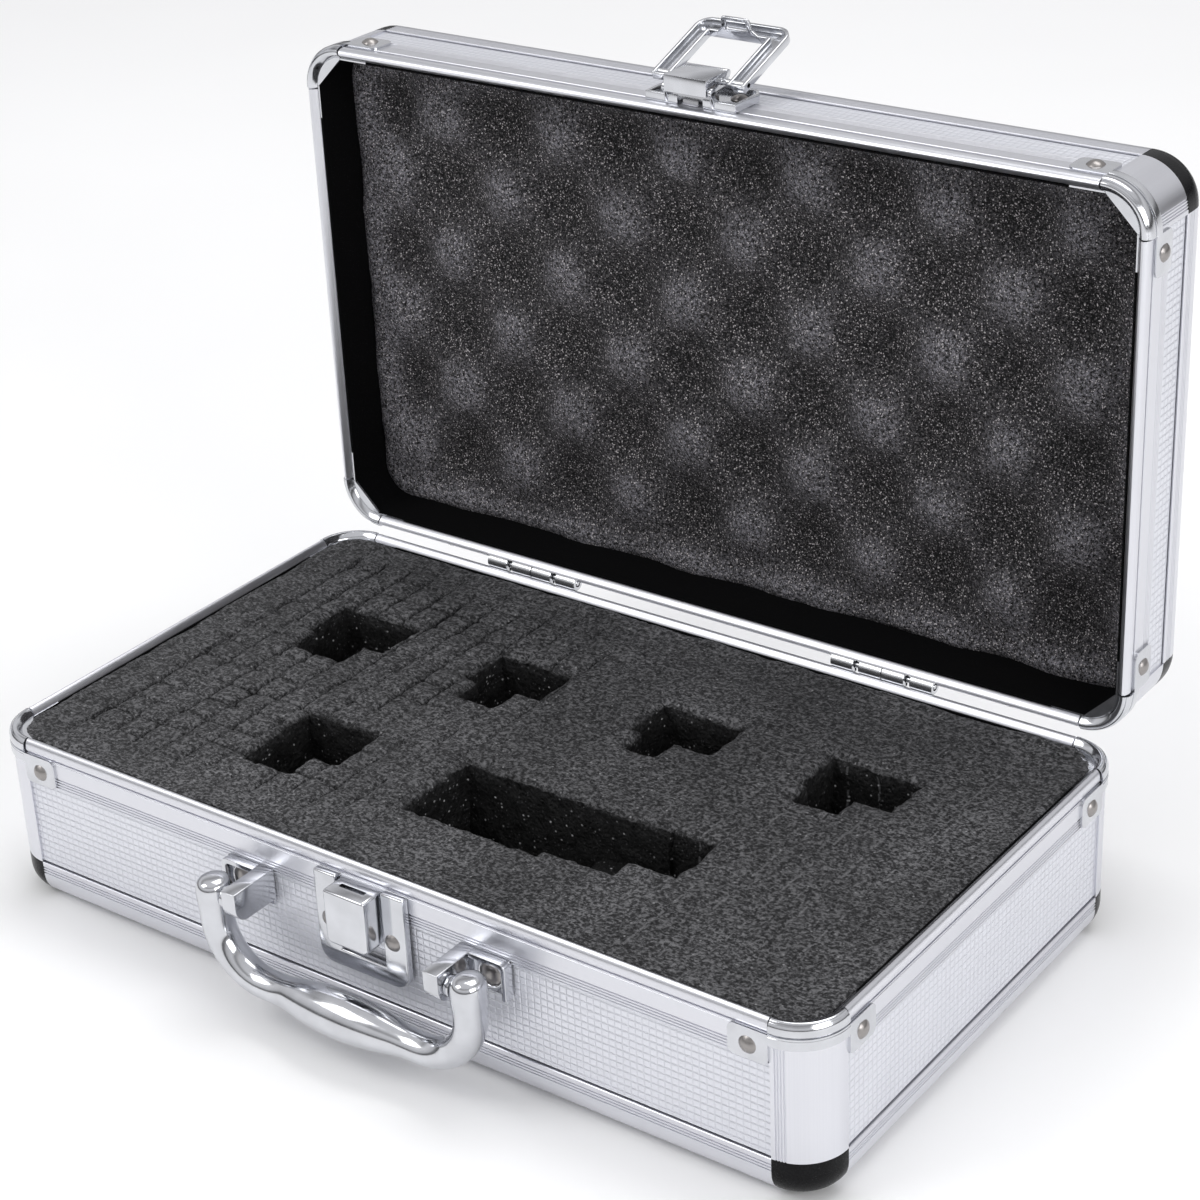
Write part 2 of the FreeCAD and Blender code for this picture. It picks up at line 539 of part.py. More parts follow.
pin_hole = [cylinder((low, PIVOT_Y, "handle_up"), "handle_pin + hinge_play", "arm_at - cheek_in - 4.5", "+x")
            for low in ("cheek_in + 5.5", "-(arm_at + 1)")]
node("handle_grip", cut(fuse(*handle_parts), *pin_hole))


def bracket(side):
    """A riveted base plate, and the cheek inside the arm that holds the pin."""
    def span(near, far):
        return (near, far) if side == "" else (f"-({far})", f"-({near})")
    plate_x, cheek_x = span("cheek_in", "bracket_end"), span("cheek_in", "cheek_in + cheek_thick")
    foot = box((plate_x[0], f"{FRONT} - bracket_thick", "bracket_low"), (plate_x[1], FRONT, "cheek_high"))
    cheek = box((cheek_x[0], f"{FRONT} - cheek_out", "cheek_low"), (cheek_x[1], FRONT, "cheek_high"))
    nose, middle = -size("case_depth") / 2 - size("cheek_out"), (size("cheek_low") + size("cheek_high")) / 2
    cheek = fillet(cheek, size("cheek_round"), lambda p, e: p.y < nose + 0.01 and p.z < middle
                   and abs(e.Vertexes[0].X - e.Vertexes[-1].X) > 1)
    cheek = fillet(cheek, size("cheek_edge"), lambda p, e: p.y < nose + 0.01 and p.z > middle
                   and abs(e.Vertexes[0].X - e.Vertexes[-1].X) > 1)
    bore = cylinder((cheek_x[0], PIVOT_Y, "handle_up"), "handle_pin", "cheek_thick", "+x")
    return cut(fuse(foot, cheek), bore)


node("handle_bracket_left", bracket("-"))
node("handle_bracket_right", bracket(""))
handle_pins = [cylinder((low, PIVOT_Y, "handle_up"), "handle_pin", "arm_at - cheek_in + 0.4", "+x")
               for low in ("cheek_in", "-(arm_at + 0.4)")]
node("handle_pins", group(*handle_pins))
bracket_rivets = [rivet((f"{side}bracket_rivet_at", f"{FRONT} - bracket_thick", "handle_up - 1"), "-y")
                  for side in ("", "-")]
node("handle_bracket_rivets", group(*bracket_rivets))

# ---------------------------------------------------------------- check and export
doc.recompute()
failed = [o.Name for o in doc.Objects if "Invalid" in o.State or "Error" in o.State]
if failed:
    raise SystemExit(f"these objects failed: {failed}")
for name, obj in nodes.items():
    shape = obj.Shape
    if shape.isNull() or not shape.isValid() or not shape.Solids:
        raise SystemExit(f"{name} has no valid solid")

os.makedirs("parts", exist_ok=True)
for name, obj in nodes.items():
    obj.Shape.exportStep(f"parts/{name}.step")
    print(f"{name}: {len(obj.Shape.Solids)} solids, {sum(s.Volume for s in obj.Shape.Solids):.0f} mm3")
print(len(nodes), "nodes")
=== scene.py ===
import functools
import math

import bmesh
import bpy
from mathutils import Matrix, Vector, noise


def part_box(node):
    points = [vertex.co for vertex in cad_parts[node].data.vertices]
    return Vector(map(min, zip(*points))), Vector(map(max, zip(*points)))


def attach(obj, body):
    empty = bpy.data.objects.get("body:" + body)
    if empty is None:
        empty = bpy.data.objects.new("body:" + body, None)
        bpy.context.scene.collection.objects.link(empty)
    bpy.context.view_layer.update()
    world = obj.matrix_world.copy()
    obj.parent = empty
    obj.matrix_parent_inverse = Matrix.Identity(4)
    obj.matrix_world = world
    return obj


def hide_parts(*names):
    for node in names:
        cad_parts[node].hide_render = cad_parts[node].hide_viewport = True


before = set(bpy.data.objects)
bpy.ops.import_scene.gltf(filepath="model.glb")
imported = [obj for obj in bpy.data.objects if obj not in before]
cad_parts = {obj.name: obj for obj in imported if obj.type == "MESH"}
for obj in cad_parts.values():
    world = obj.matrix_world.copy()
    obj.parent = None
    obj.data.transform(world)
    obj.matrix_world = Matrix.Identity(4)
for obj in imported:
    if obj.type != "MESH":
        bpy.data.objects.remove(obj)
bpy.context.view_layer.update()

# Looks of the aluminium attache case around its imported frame. All lengths are in millimetres until a piece is
# finished; a tray's own frame stands on its floor, with its rim at the top, as in the CAD source.


@functools.cache
def box(node):
    """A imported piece's lowest and highest corners in millimetres."""
    return [corner * 1000 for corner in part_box(node)]


def low(node):
    return box(node)[0]


def high(node):
    return box(node)[1]


HALF_W = high("base_right_rim").x
HALF_D = -low("base_front_rim").y
ROUND = HALF_W - high("base_front_rim").x
BASE_H = high("base_front_rim").z
LID_TOP = high("lid_top_panel").y
RIM_Y = low("lid_front_rim").y
LID_H = LID_TOP - RIM_Y
FACE_Z = high("lid_front_rim").z
BASE = Matrix()
LID = (Matrix.Translation((0, LID_TOP, (low("lid_top_panel").z + high("lid_top_panel").z) / 2))
       @ Matrix.Rotation(math.pi / 2, 4, "X"))
TRAYS = {"base": (BASE, BASE_H), "lid": (LID, LID_H)}
X, Y, Z = Vector((1, 0, 0)), Vector((0, 1, 0)), Vector((0, 0, 1))


def axes(origin, u, v, w):
    """The matrix that takes (a, b, c) to origin + a u + b v + c w."""
    turn = Matrix((u, v, w)).transposed().to_4x4()
    turn.translation = origin
    return turn


# Cuts of the dicing knife: across X they run the block's whole depth, across Y only its left half.
CUTS_X = [-116, -106.5, -97, -88, -79, -70, -61, -52, -43, -34, -25, -15.5, -6,
          3.5, 13, 22.5, 32, 41.5, 51, 61, 72.5, 82, 91.5, 100.5, 110]
CUTS_Y = [-54, -45, -36.5, -27, -18, -8, 2, 12, 21, 30, 39, 48, 57]


# ---------------- materials

class Graph:
    """A few lines for building a node material."""

    def __init__(self, name, color, metallic, roughness, **fixed):
        self.mat = bpy.data.materials.new(name)
        self.mat.use_nodes = True
        self.tree = self.mat.node_tree
        self.shader = self.tree.nodes["Principled BSDF"]
        self.shader.inputs["Base Color"].default_value = (*color, 1)
        self.shader.inputs["Metallic"].default_value = metallic
        self.shader.inputs["Roughness"].default_value = roughness
        for socket, value in fixed.items():
            self.shader.inputs[socket.replace("_", " ")].default_value = value
        self.coords = self.node("ShaderNodeTexCoord")
        self.object = self.node("ShaderNodeVectorMath", self.coords.outputs["Object"], operation="SCALE",
                                Scale=1000.0).outputs[0]

    def node(self, kind, *inputs, **settings):
        """A node: plain values fill its first sockets, capitalised names others, the rest are settings."""
        made = self.tree.nodes.new(kind)
        sockets = dict(enumerate(inputs))
        for key, value in settings.items():
            if key[0].isupper():
                sockets[key] = value
            else:
                setattr(made, key, value)
        for key, value in sockets.items():
            if isinstance(value, bpy.types.NodeSocket):
                self.tree.links.new(value, made.inputs[key])
            else:
                made.inputs[key].default_value = value
        return made

    def math(self, operation, a, b=0.0):
        return self.node("ShaderNodeMath", a, b, operation=operation).outputs[0]

    def plus(self, a, b):
        return self.math("ADD", a, b)

    def minus(self, a, b):
        return self.math("SUBTRACT", a, b)

    def times(self, a, b):
        return self.math("MULTIPLY", a, b)

    def noise(self, scale, detail=2.0, vector=None, rough=0.5, distort=0.0):
        return self.node("ShaderNodeTexNoise", Vector=vector or self.object, Scale=scale, Detail=detail,
                         Roughness=rough, Distortion=distort).outputs["Fac"]

    def voronoi(self, scale, feature="F1", output="Distance"):
        made = self.node("ShaderNodeTexVoronoi", feature=feature, Vector=self.object, Scale=scale)
        return made.outputs[output]

    def stretch(self, x, y, z):
        return self.node("ShaderNodeVectorMath", self.object, (x, y, z), operation="MULTIPLY").outputs[0]

    def split(self, vector):
        return self.node("ShaderNodeSeparateXYZ", vector).outputs

    def ramp(self, value, stops):
        made = self.node("ShaderNodeValToRGB", value)
        elements = made.color_ramp.elements
        while len(elements) < len(stops):
            elements.new(0.5)
        for element, (position, shade) in zip(elements, stops):
            element.position = position
            element.color = (*shade, 1) if hasattr(shade, "__len__") else (shade, shade, shade, 1)
        return made.outputs[0]

    def span(self, value, low, high, to_low=0.0, to_high=1.0):
        return self.node("ShaderNodeMapRange", value, low, high, to_low, to_high).outputs[0]

    def mix(self, amount, a, b, blend="MIX"):
        made = self.node("ShaderNodeMix", data_type="RGBA", blend_type=blend)
        for socket, value in ((0, amount), (6, a), (7, b)):
            if isinstance(value, bpy.types.NodeSocket):
                self.tree.links.new(value, made.inputs[socket])
            elif socket:
                made.inputs[socket].default_value = (*value, 1)
            else:
                made.inputs[socket].default_value = value
        return made.outputs[2]

    def color(self, value):
        self.tree.links.new(value, self.shader.inputs["Base Color"])

    def rough(self, value, low, high):
        self.tree.links.new(self.span(value, 0.3, 0.7, low, high), self.shader.inputs["Roughness"])

    def bump(self, height, distance, strength=1.0):
        """Height is 0 to 1 and distance is its depth in millimetres."""
        made = self.node("ShaderNodeBump", Height=height, Distance=distance / 1000, Strength=strength)
        self.tree.links.new(made.outputs[0], self.shader.inputs["Normal"])


def laminate():
    """Silver laminate, embossed with small squares."""
    g = Graph("panel_laminate", (0.66, 0.67, 0.70), 0.6, 0.36)
    pitch, groove, offset, depth = 2.0, 0.34, 0.37, 0.16
    place, facing = g.split(g.object), g.split(g.coords.outputs["Normal"])
    square = None
    for axis, strength in enumerate((0.75, 1.0, 1.0)):
        away = g.math("PINGPONG", g.plus(place[axis], offset), pitch / 2)
        line = g.span(away, groove, 0.0)
        seen = g.times(line, g.math("LESS_THAN", g.math("ABSOLUTE", facing[axis]), 0.7))
        seen = g.times(seen, strength)
        square = seen if square is None else g.math("MAXIMUM", square, seen)
    grain = g.noise(1.6, 3)
    tone = g.ramp(g.noise(0.045, 2), [(0.3, (0.745, 0.755, 0.805)), (0.7, (0.775, 0.785, 0.835))])
    g.color(g.mix(g.times(square, 0.22), tone, (0.47, 0.48, 0.54)))
    g.rough(grain, 0.30, 0.42)
    g.bump(g.minus(g.times(grain, 0.12), square), depth, 0.8)
    return g.mat


def aluminium(axis):
    """Satin extruded aluminium; the draw lines run along one axis."""
    g = Graph(f"aluminium_{axis}", (0.72, 0.73, 0.76), 1.0, 0.3)
    along = {"x": (0.012, 5, 5), "y": (5, 0.012, 5), "z": (5, 5, 0.012)}[axis]
    lines = g.noise(1.0, 3, g.stretch(*along), 0.6)
    cloud = g.noise(0.08, 3)
    g.color(g.mix(g.span(lines, 0.3, 0.7), (0.70, 0.705, 0.745), (0.735, 0.74, 0.78)))
    g.rough(g.plus(g.times(lines, 0.6), g.times(cloud, 0.4)), 0.27, 0.36)
    g.bump(lines, 0.004, 0.35)
    return g.mat


def bright(name, color, rough_low, rough_high, scratch=0.5):
    """Plated or polished metal with faint smears and hairline scratches."""
    g = Graph(name, color, 1.0, rough_low)
    smear = g.noise(0.12, 4)
    hair = g.noise(2.0, 2, g.stretch(0.25, 3, 3))
    shade = tuple(c * 0.86 for c in color)
    g.color(g.mix(g.span(smear, 0.35, 0.7), shade, color))
    g.rough(g.plus(g.times(smear, 0.5), g.times(hair, 0.5)), rough_low, rough_high)
    g.bump(hair, 0.006 * scratch, 0.4)
    return g.mat


def plastic(name, color, rough_low, rough_high, grain, depth, shine=0.5):
    """Moulded plastic or rubber with a fine grain."""
    g = Graph(name, color, 0.0, rough_low, Specular_IOR_Level=shine)
    fine = g.noise(grain, 3)
    g.color(g.mix(g.span(g.noise(0.15, 3), 0.3, 0.7), color, tuple(c * 1.5 for c in color)))
    g.rough(fine, rough_low, rough_high)
    g.bump(fine, depth, 0.6)
    return g.mat


def velvet():
    """The thin black sheet that lines both trays."""
    g = Graph("black_lining", (0.003, 0.003, 0.003), 0.0, 0.95, Specular_IOR_Level=0.08)
    fibre = g.noise(3.5, 3)
    # painted glints: faint points of light in the black
    g.color(g.ramp(fine_specks(g, 1.3), [(0.0, (0.0022, 0.0022, 0.0025)), (1.0, (0.012, 0.012, 0.013))]))
    g.rough(fibre, 0.8, 0.95)
    g.bump(fibre, 0.12, 0.6)
    return g.mat


def fine_specks(g, scale, reach=0.22, share=0.55):
    """Points of light in some cells of a fine pattern, from 0 to 1."""
    near = g.span(g.voronoi(scale), reach, reach * 0.35)
    pick = g.voronoi(scale, output="Color")
    lit = g.math("GREATER_THAN", g.split(pick)[0], share)
    return g.times(near, lit)


def pluck_foam():
    """Charcoal polyethylene foam: crinkled skin, painted glints as bright flecks, painted shade, dotted slicing
    lines.
    """
    g = Graph("pluck_foam", (0.03, 0.03, 0.032), 0.0, 0.6, Specular_IOR_Level=0.35)
    skin = g.noise(0.7, 5, rough=0.75, distort=1.2)
    cells = g.voronoi(1.1, "SMOOTH_F1")
    # painted glints: two sizes of bright specks, the fibre specks included
    glint_fleck = fine_specks(g, 0.95, 0.30, 0.62)
    fibre = fine_specks(g, 0.55, 0.22, 0.72)
    crinkle = g.plus(g.times(skin, 0.75), g.times(cells, 0.3))
    streak = g.noise(1.25, 3, g.stretch(0.5, 1.3, 1.0), 0.7, 1.0)
    crinkle = g.plus(g.times(crinkle, 0.6), g.times(streak, 0.4))
    tone = g.ramp(crinkle, [(0.44, (0.010, 0.010, 0.011)), (0.50, (0.052, 0.052, 0.055)),
                            (0.56, (0.168, 0.168, 0.175))])
    broad = g.ramp(g.noise(0.03, 2), [(0.35, 0.8), (0.7, 1.25)])
    tone = g.mix(1.0, tone, broad, "MULTIPLY")
    # painted shade: darker down in the pockets and, more sharply, in the cuts
    place = g.split(g.object)
    surface = high("base_foam_block").z
    deep = g.span(place[2], surface - 7.0, surface - 2.2)
    tone = g.mix(deep, g.mix(1.0, tone, (0.13, 0.13, 0.13), "MULTIPLY"), tone)
    cut_shade = g.ramp(g.span(place[2], surface - 2.4, surface - 1.0), [(0.0, 0.2), (1.0, 1.0)])
    tone = g.mix(1.0, tone, cut_shade, "MULTIPLY")
    # the right part is sliced but not opened, so its cuts show as dotted lines
    drift = g.times(g.minus(g.noise(0.06, 1), 0.5), 1.6)
    dots = g.math("GREATER_THAN", g.noise(0.42, 1), 0.52)
    closed_from = 60
    for cut in (c for c in CUTS_X if c > closed_from):
        off = g.math("ABSOLUTE", g.minus(place[0], g.plus(drift, cut)))
        dotted = g.times(g.times(g.span(off, 0.42, 0.2), dots), 0.42)
        tone = g.mix(dotted, tone, (0.24, 0.24, 0.25))
    # painted glints: pale flecks, then bright specks that are brighter down in the pockets than on top
    tone = g.mix(g.times(glint_fleck, 0.45), tone, (0.19, 0.19, 0.20))
    g.color(g.mix(g.times(fibre, 0.7), tone, g.mix(deep, (0.95, 0.95, 0.97), (0.40, 0.40, 0.41))))
    g.rough(skin, 0.42, 0.75)
    g.bump(g.plus(g.times(skin, 0.8), g.times(cells, 0.5)), 1.3, 1.0)
    return g.mat


WAVE = 5.5  # height of the egg-crate's bumps


def wave_foam():
    """Open-celled foam: fine dark grain, painted glints as tiny sparks, painted light on crests and shade in
    hollows.
    """
    g = Graph("wave_foam", (0.03, 0.03, 0.033), 0.0, 0.9, Specular_IOR_Level=0.25)
    grain = g.noise(1.25, 4, rough=0.85)
    # painted glints: small grey sparks and brighter pale glints
    spark = g.span(g.noise(1.7, 2, rough=0.8), 0.53, 0.62)
    glint = g.math("MAXIMUM", fine_specks(g, 1.15, 0.30, 0.60), g.span(g.noise(1.9, 1), 0.66, 0.72))
    front = low("lid_wave_foam").y
    # painted light and shade by height: paler on the crests, darker down in the hollows
    crest = g.span(g.split(g.object)[1], front + WAVE + 0.3, front + 0.5)
    crest = g.plus(crest, g.times(g.minus(g.noise(0.055, 3, distort=0.5), 0.5), 0.55))
    tone = g.ramp(crest, [(0.02, (0.007, 0.0068, 0.0076)), (0.25, (0.014, 0.0135, 0.015)),
                          (0.55, (0.029, 0.028, 0.031)), (0.92, (0.096, 0.094, 0.104))])
    tone = g.mix(1.0, tone, g.ramp(grain, [(0.42, 0.02), (0.5, 0.6), (0.58, 2.8)]), "MULTIPLY")
    # painted glints laid over the grain
    tone = g.mix(g.times(spark, 0.6), tone, (0.19, 0.18, 0.185))
    g.color(g.mix(g.times(glint, 0.85), tone, (0.74, 0.70, 0.71)))
    g.rough(grain, 0.75, 0.95)
    g.bump(grain, 0.5, 0.7)
    return g.mat


MATERIALS = {
    "panel_laminate": laminate(),
    "aluminium_x": aluminium("x"),
    "aluminium_y": aluminium("y"),
    "aluminium_z": aluminium("z"),
    "black_corner": plastic("black_corner", (0.0035, 0.0035, 0.004), 0.22, 0.32, 1.8, 0.015, 0.12),
    "bright_chrome": bright("bright_chrome", (0.68, 0.69, 0.72), 0.10, 0.19),
    "rivet_steel": bright("rivet_steel", (0.36, 0.34, 0.33), 0.26, 0.42, 2),
    "bright_steel": bright("bright_steel", (0.72, 0.73, 0.75), 0.14, 0.26),
    "spring_steel": bright("spring_steel", (0.42, 0.42, 0.44), 0.2, 0.34),
    "black_lining": velvet(),
    "pluck_foam": pluck_foam(),
    "wave_foam": wave_foam(),
    "black_rubber": plastic("black_rubber", (0.018, 0.018, 0.018), 0.6, 0.8, 1.2, 0.08),
}


# ---------------- mesh building

class Piece:
    """One piece's mesh, made in millimetres in a tray's own frame, or in the object's."""

    def __init__(self, place=BASE):
        self.bm = bmesh.new()
        self.place = place

    def mesh(self, points, faces, turn=BASE):
        whole = self.place @ turn
        verts = [self.bm.verts.new(whole @ Vector(p)) for p in points]
        for face in faces:
            if len({*face}) > 2:
                self.bm.faces.new([verts[i] for i in face])

    def run(self, outline, start, end, turn=BASE):
        """A closed outline (a, b) run from start to end along the third axis of turn."""
        count = len(outline)
        points = [(a, b, c) for c in (start, end) for a, b in outline]
        faces = [(i, (i + 1) % count, count + (i + 1) % count, count + i) for i in range(count)]
        faces += [tuple(range(count))[::-1], tuple(range(count, 2 * count))]
        self.mesh(points, faces, turn)

    def lathe(self, outline, turn, sweep, steps):
        """A closed outline (radius, height) swept round the third axis of turn."""
        full = sweep == 360
        rows = steps if full else steps + 1
        count = len(outline)
        points = []
        for row in range(rows):
            angle = math.radians(sweep) * row / steps
            points += [(r * math.cos(angle), r * math.sin(angle), h) for r, h in outline]
        faces = []
        for row in range(steps):
            here, there = row * count, (row + 1) % rows * count
            for i in range(count):
                k = (i + 1) % count
                faces.append((here + i, there + i, there + k, here + k))
        if not full:
            faces += [tuple(range(count)), tuple(range(steps * count, (steps + 1) * count))[::-1]]
        self.mesh(points, faces, turn)

    def block(self, at, to, turn=BASE):
        (x0, y0, z0), (x1, y1, z1) = at, to
        self.run([(x0, y0), (x1, y0), (x1, y1), (x0, y1)], z0, z1, turn)

    def tube(self, path, radii, sides, side):
        """A bar along a path; each radius is a function of the angle. Its last rings close its ends."""
        rings = []
        for i, (point, radius) in enumerate(zip(path, radii)):
            ahead = (path[min(i + 1, len(path) - 1)] - path[max(i - 1, 0)]).normalized()
            across = side.cross(ahead).normalized()
            up = ahead.cross(across)
            for k in range(sides):
                turn = 2 * math.pi * k / sides
                rings.append(point + radius(turn) * (math.cos(turn) * across + math.sin(turn) * up))
        last = (len(path) - 1) * sides
        faces = [(row + k, row + (k + 1) % sides, row + sides + (k + 1) % sides, row + sides + k)
                 for row in range(0, last, sides) for k in range(sides)]
        faces += [tuple(range(sides))[::-1], tuple(range(last, last + sides))]
        self.mesh(rings, faces)

    def cleaned(self, bevel=0.0, limit=32, segments=2):
        """The mesh with its doubles merged and, where a bevel is asked for, its sharp edges rounded."""
        bm = self.bm
        bmesh.ops.remove_doubles(bm, verts=bm.verts, dist=1e-4)
        bmesh.ops.recalc_face_normals(bm, faces=bm.faces)
        if bevel:
            sharper = math.radians(limit)
            edges = [e for e in bm.edges if len(e.link_faces) == 2 and e.calc_face_angle(0) > sharper]
            bmesh.ops.bevel(bm, geom=edges, offset=bevel, offset_type="OFFSET", segments=segments,
                            profile=0.5, affect="EDGES", clamp_overlap=True)
        return bm

    def done(self, node, slot, body, bevel=0.0, sharp=35, material=None, segments=2, limit=32, look=""):
        """Turns the piece into an object that stands for the CAD node and rides on the body."""
        name = f"{look or node}_look"
        bm = self.cleaned(bevel, limit, segments)
        bmesh.ops.scale(bm, vec=(0.001,) * 3, verts=bm.verts)
        mesh = bpy.data.meshes.new(name)
        bm.to_mesh(mesh)
        bm.free()
        mesh.polygons.foreach_set("use_smooth", [True] * len(mesh.polygons))
        mesh.set_sharp_from_angle(angle=math.radians(sharp))
        made = bpy.data.objects.new(name, mesh)
        bpy.context.scene.collection.objects.link(made)
        mesh.materials.append(MATERIALS[material or slot])
        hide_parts(node)
        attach(made, body)
        return made


def soften(node, slot, body, width):
    """A CAD node's shape again, with its sharp edges rolled over."""
    piece = Piece()
    bm = piece.bm
    bm.from_mesh(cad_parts[node].data)
    bmesh.ops.scale(bm, vec=(1000,) * 3, verts=bm.verts)
    bmesh.ops.remove_doubles(bm, verts=bm.verts, dist=0.003)
    bmesh.ops.dissolve_limit(bm, angle_limit=math.radians(0.5), verts=bm.verts, edges=bm.edges)
    piece.done(node, slot, body, bevel=width, limit=28)


def arc(centre, radius, start, end, steps):
    """Points on an arc, angles in degrees."""
    turns = [math.radians(start + (end - start) * i / steps) for i in range(steps + 1)]
    return [(centre[0] + radius * math.cos(t), centre[1] + radius * math.sin(t)) for t in turns]


# ---------------- the trays' metalwork

SIDES = {
    "minus_y": (axes((0, -HALF_D, 0), Y, Z, X), HALF_W - ROUND, "x"),
    "plus_y": (axes((0, HALF_D, 0), -Y, Z, X), HALF_W - ROUND, "x"),
    "minus_x": (axes((-HALF_W, 0, 0), X, Z, Y), HALF_D - ROUND, "y"),
    "plus_x": (axes((HALF_W, 0, 0), -X, Z, Y), HALF_D - ROUND, "y"),
}
WALLS = {
    "base": {"front": "minus_y", "rear": "plus_y", "left": "minus_x", "right": "plus_x"},
    "lid": {"front": "plus_y", "rear": "minus_y", "left": "minus_x", "right": "plus_x"},
}
THICK = high("base_left_rim").x - low("base_left_rim").x
RIM = BASE_H - low("base_left_rim").z


def rim_outline(height):
    """Section of a straight rim, as (inward, up): fine ribs, a flat band, a groove and the rolled bead."""
    points = [(0.3, -RIM), (0, 0.3 - RIM), (0, 0.55 - RIM)]
    for rib in range(4):
        base = 0.6 - RIM + 0.84 * rib
        points += [(0.34, base + 0.1), (0.34, base + 0.36), (0, base + 0.46), (0, base + 0.8)]
    points += [(0, -4.35), (0.16, -4.25), (0.16, -4.1), (0, -4.0), (0, -3.7)]
    points += [(0.5, -3.62), (0.5, -3.28), (0.06, -3.2)]
    points += [(0, -3.0), (0, -2.2), (0.06, -1.6), (0.22, -1.05), (0.48, -0.58), (0.82, -0.22), (1.2, -0.04),
               (1.6, -0.12), (2.1, -0.5), (2.55, -1.0), (2.92, -1.5), (THICK - 0.08, -1.95)]
    points += [(THICK, -2.4), (THICK, -RIM)]
    return [(d, height + h) for d, h in points]


def edge_outline():
    """Section of an edge profile, an L whose corner is rounded and whose legs are lined."""
    leg, wall, bend = 12.4, 3.0, 8.0
    leg -= 0.45
    upright = [(0.15, leg), (0, leg - 0.15)]
    for groove in (10.3, 9.45, 8.6):
        upright += [(0, groove + 0.22), (0.3, groove + 0.12), (0.3, groove - 0.12), (0, groove - 0.22)]
    corner = arc((bend, bend), bend, 180, 270, 12)
    flat = [(b, a) for a, b in reversed(upright)]
    return [(wall, leg)] + upright + corner + flat + [(leg, wall), (wall, wall)]


def straight_metal(tray, wall, side):
    """One wall's rim, slit where it meets the corner caps, and its edge profile."""
    (place, height), (turn, reach, axis) = TRAYS[tray], SIDES[side]
    slit, skin, room_end, room_start, bead = 0.45, 1.35, 77, 43, 3.1
    rim, edge = Piece(place), Piece(place)
    full = rim_outline(height)
    if (tray, wall) == ("lid", "rear"):
        # beside the hinges the bead is cut back to leave the knuckles room
        shaved = [(max(d, skin), h) if h > height - bead else (d, h) for d, h in full]
        stops = [slit - reach, -room_end, -room_start, room_start, room_end, reach - slit]
        for outline, start, end in zip((full, shaved, full, shaved, full), stops, stops[1:]):
            rim.run(outline, start, end, turn)
    else:
        rim.run(full, slit - reach, reach - slit, turn)
    along = "x" if axis == "x" else {"base": "y", "lid": "z"}[tray]
    edge.run(edge_outline(), -reach, reach, turn)
    for piece, node, look in ((rim, "rim", "rim"), (edge, "edge_profile", "edge")):
        piece.done(f"{tray}_{wall}_{node}", "aluminium_profile", tray, material=f"aluminium_{along}",
                   look=f"{tray}_{wall}_{look}")


for tray in TRAYS:
    for wall, side in WALLS[tray].items():
        straight_metal(tray, wall, side)

CORNERS = [(1, 1, 0), (-1, 1, 90), (-1, -1, 180), (1, -1, 270)]


def corner_turns():
    for sx, sy, angle in CORNERS:
        spot = Matrix.Translation((sx * (HALF_W - ROUND), sy * (HALF_D - ROUND), 0))
        yield spot @ Matrix.Rotation(math.radians(angle), 4, "Z")


def cap_ring():
    """Section of a corner cap, from its skirt over the ribbed bead to its inner face, as (radius, up)."""
    outer = ROUND + 0.6
    section = [(0.35, -7), (0.06, -6.85), (0, -6.6), (0, -4.4), (0.14, -4.28), (0.14, -4.12),
               (0, -4.0), (0, -3.7), (0.4, -3.6), (0.4, -3.3), (0.05, -3.2), (0, -3.0), (0, -2.1),
               (0.1, -1.5), (0.3, -1.0), (0.62, -0.6), (0.74, -0.72), (0.86, -0.62), (1.0, -0.3),
               (1.4, -0.05), (1.85, -0.0), (2.3, -0.16), (2.75, -0.55), (3.2, -1.05), (3.5, -1.4),
               (3.75, -1.9)]
    section = [(outer - inward, up) for inward, up in section]
    return section + [(ROUND - THICK, -2.4), (ROUND - THICK, -7)]


def tab_outline(length):
    """A cap's tab on the wall, from the corner (a = 0) along it, rounded at its far end."""
    top, bottom, far, corner = -3.8, -RIM, -length, 2.0
    points = [(0, top)] + arc((far + corner, top - corner), corner, 90, 180, 6)
    points += arc((far + corner, bottom + corner), corner, 180, 270, 6)
    return points + arc((-1.4, bottom + 1.4), 1.4, 270, 360, 5)


def post_plan():
    """A corner post from above: a quarter round with four fine grooves near one end."""
    plan = arc((0, 0), ROUND, 0, 0.4, 1)
    width = math.degrees(0.13 / ROUND)
    for groove in range(4):
        middle = math.degrees((1.3 + 0.75 * groove) / ROUND)
        plan += arc((0, 0), ROUND, middle - 2.2 * width, middle - width, 1)
        plan += arc((0, 0), ROUND - 0.24, middle - 0.6 * width, middle + 0.6 * width, 1)
    plan += arc((0, 0), ROUND, math.degrees(4.0 / ROUND), 90, 18)
    return plan + arc((0, 0), ROUND - 1.4, 90, 0, 14)


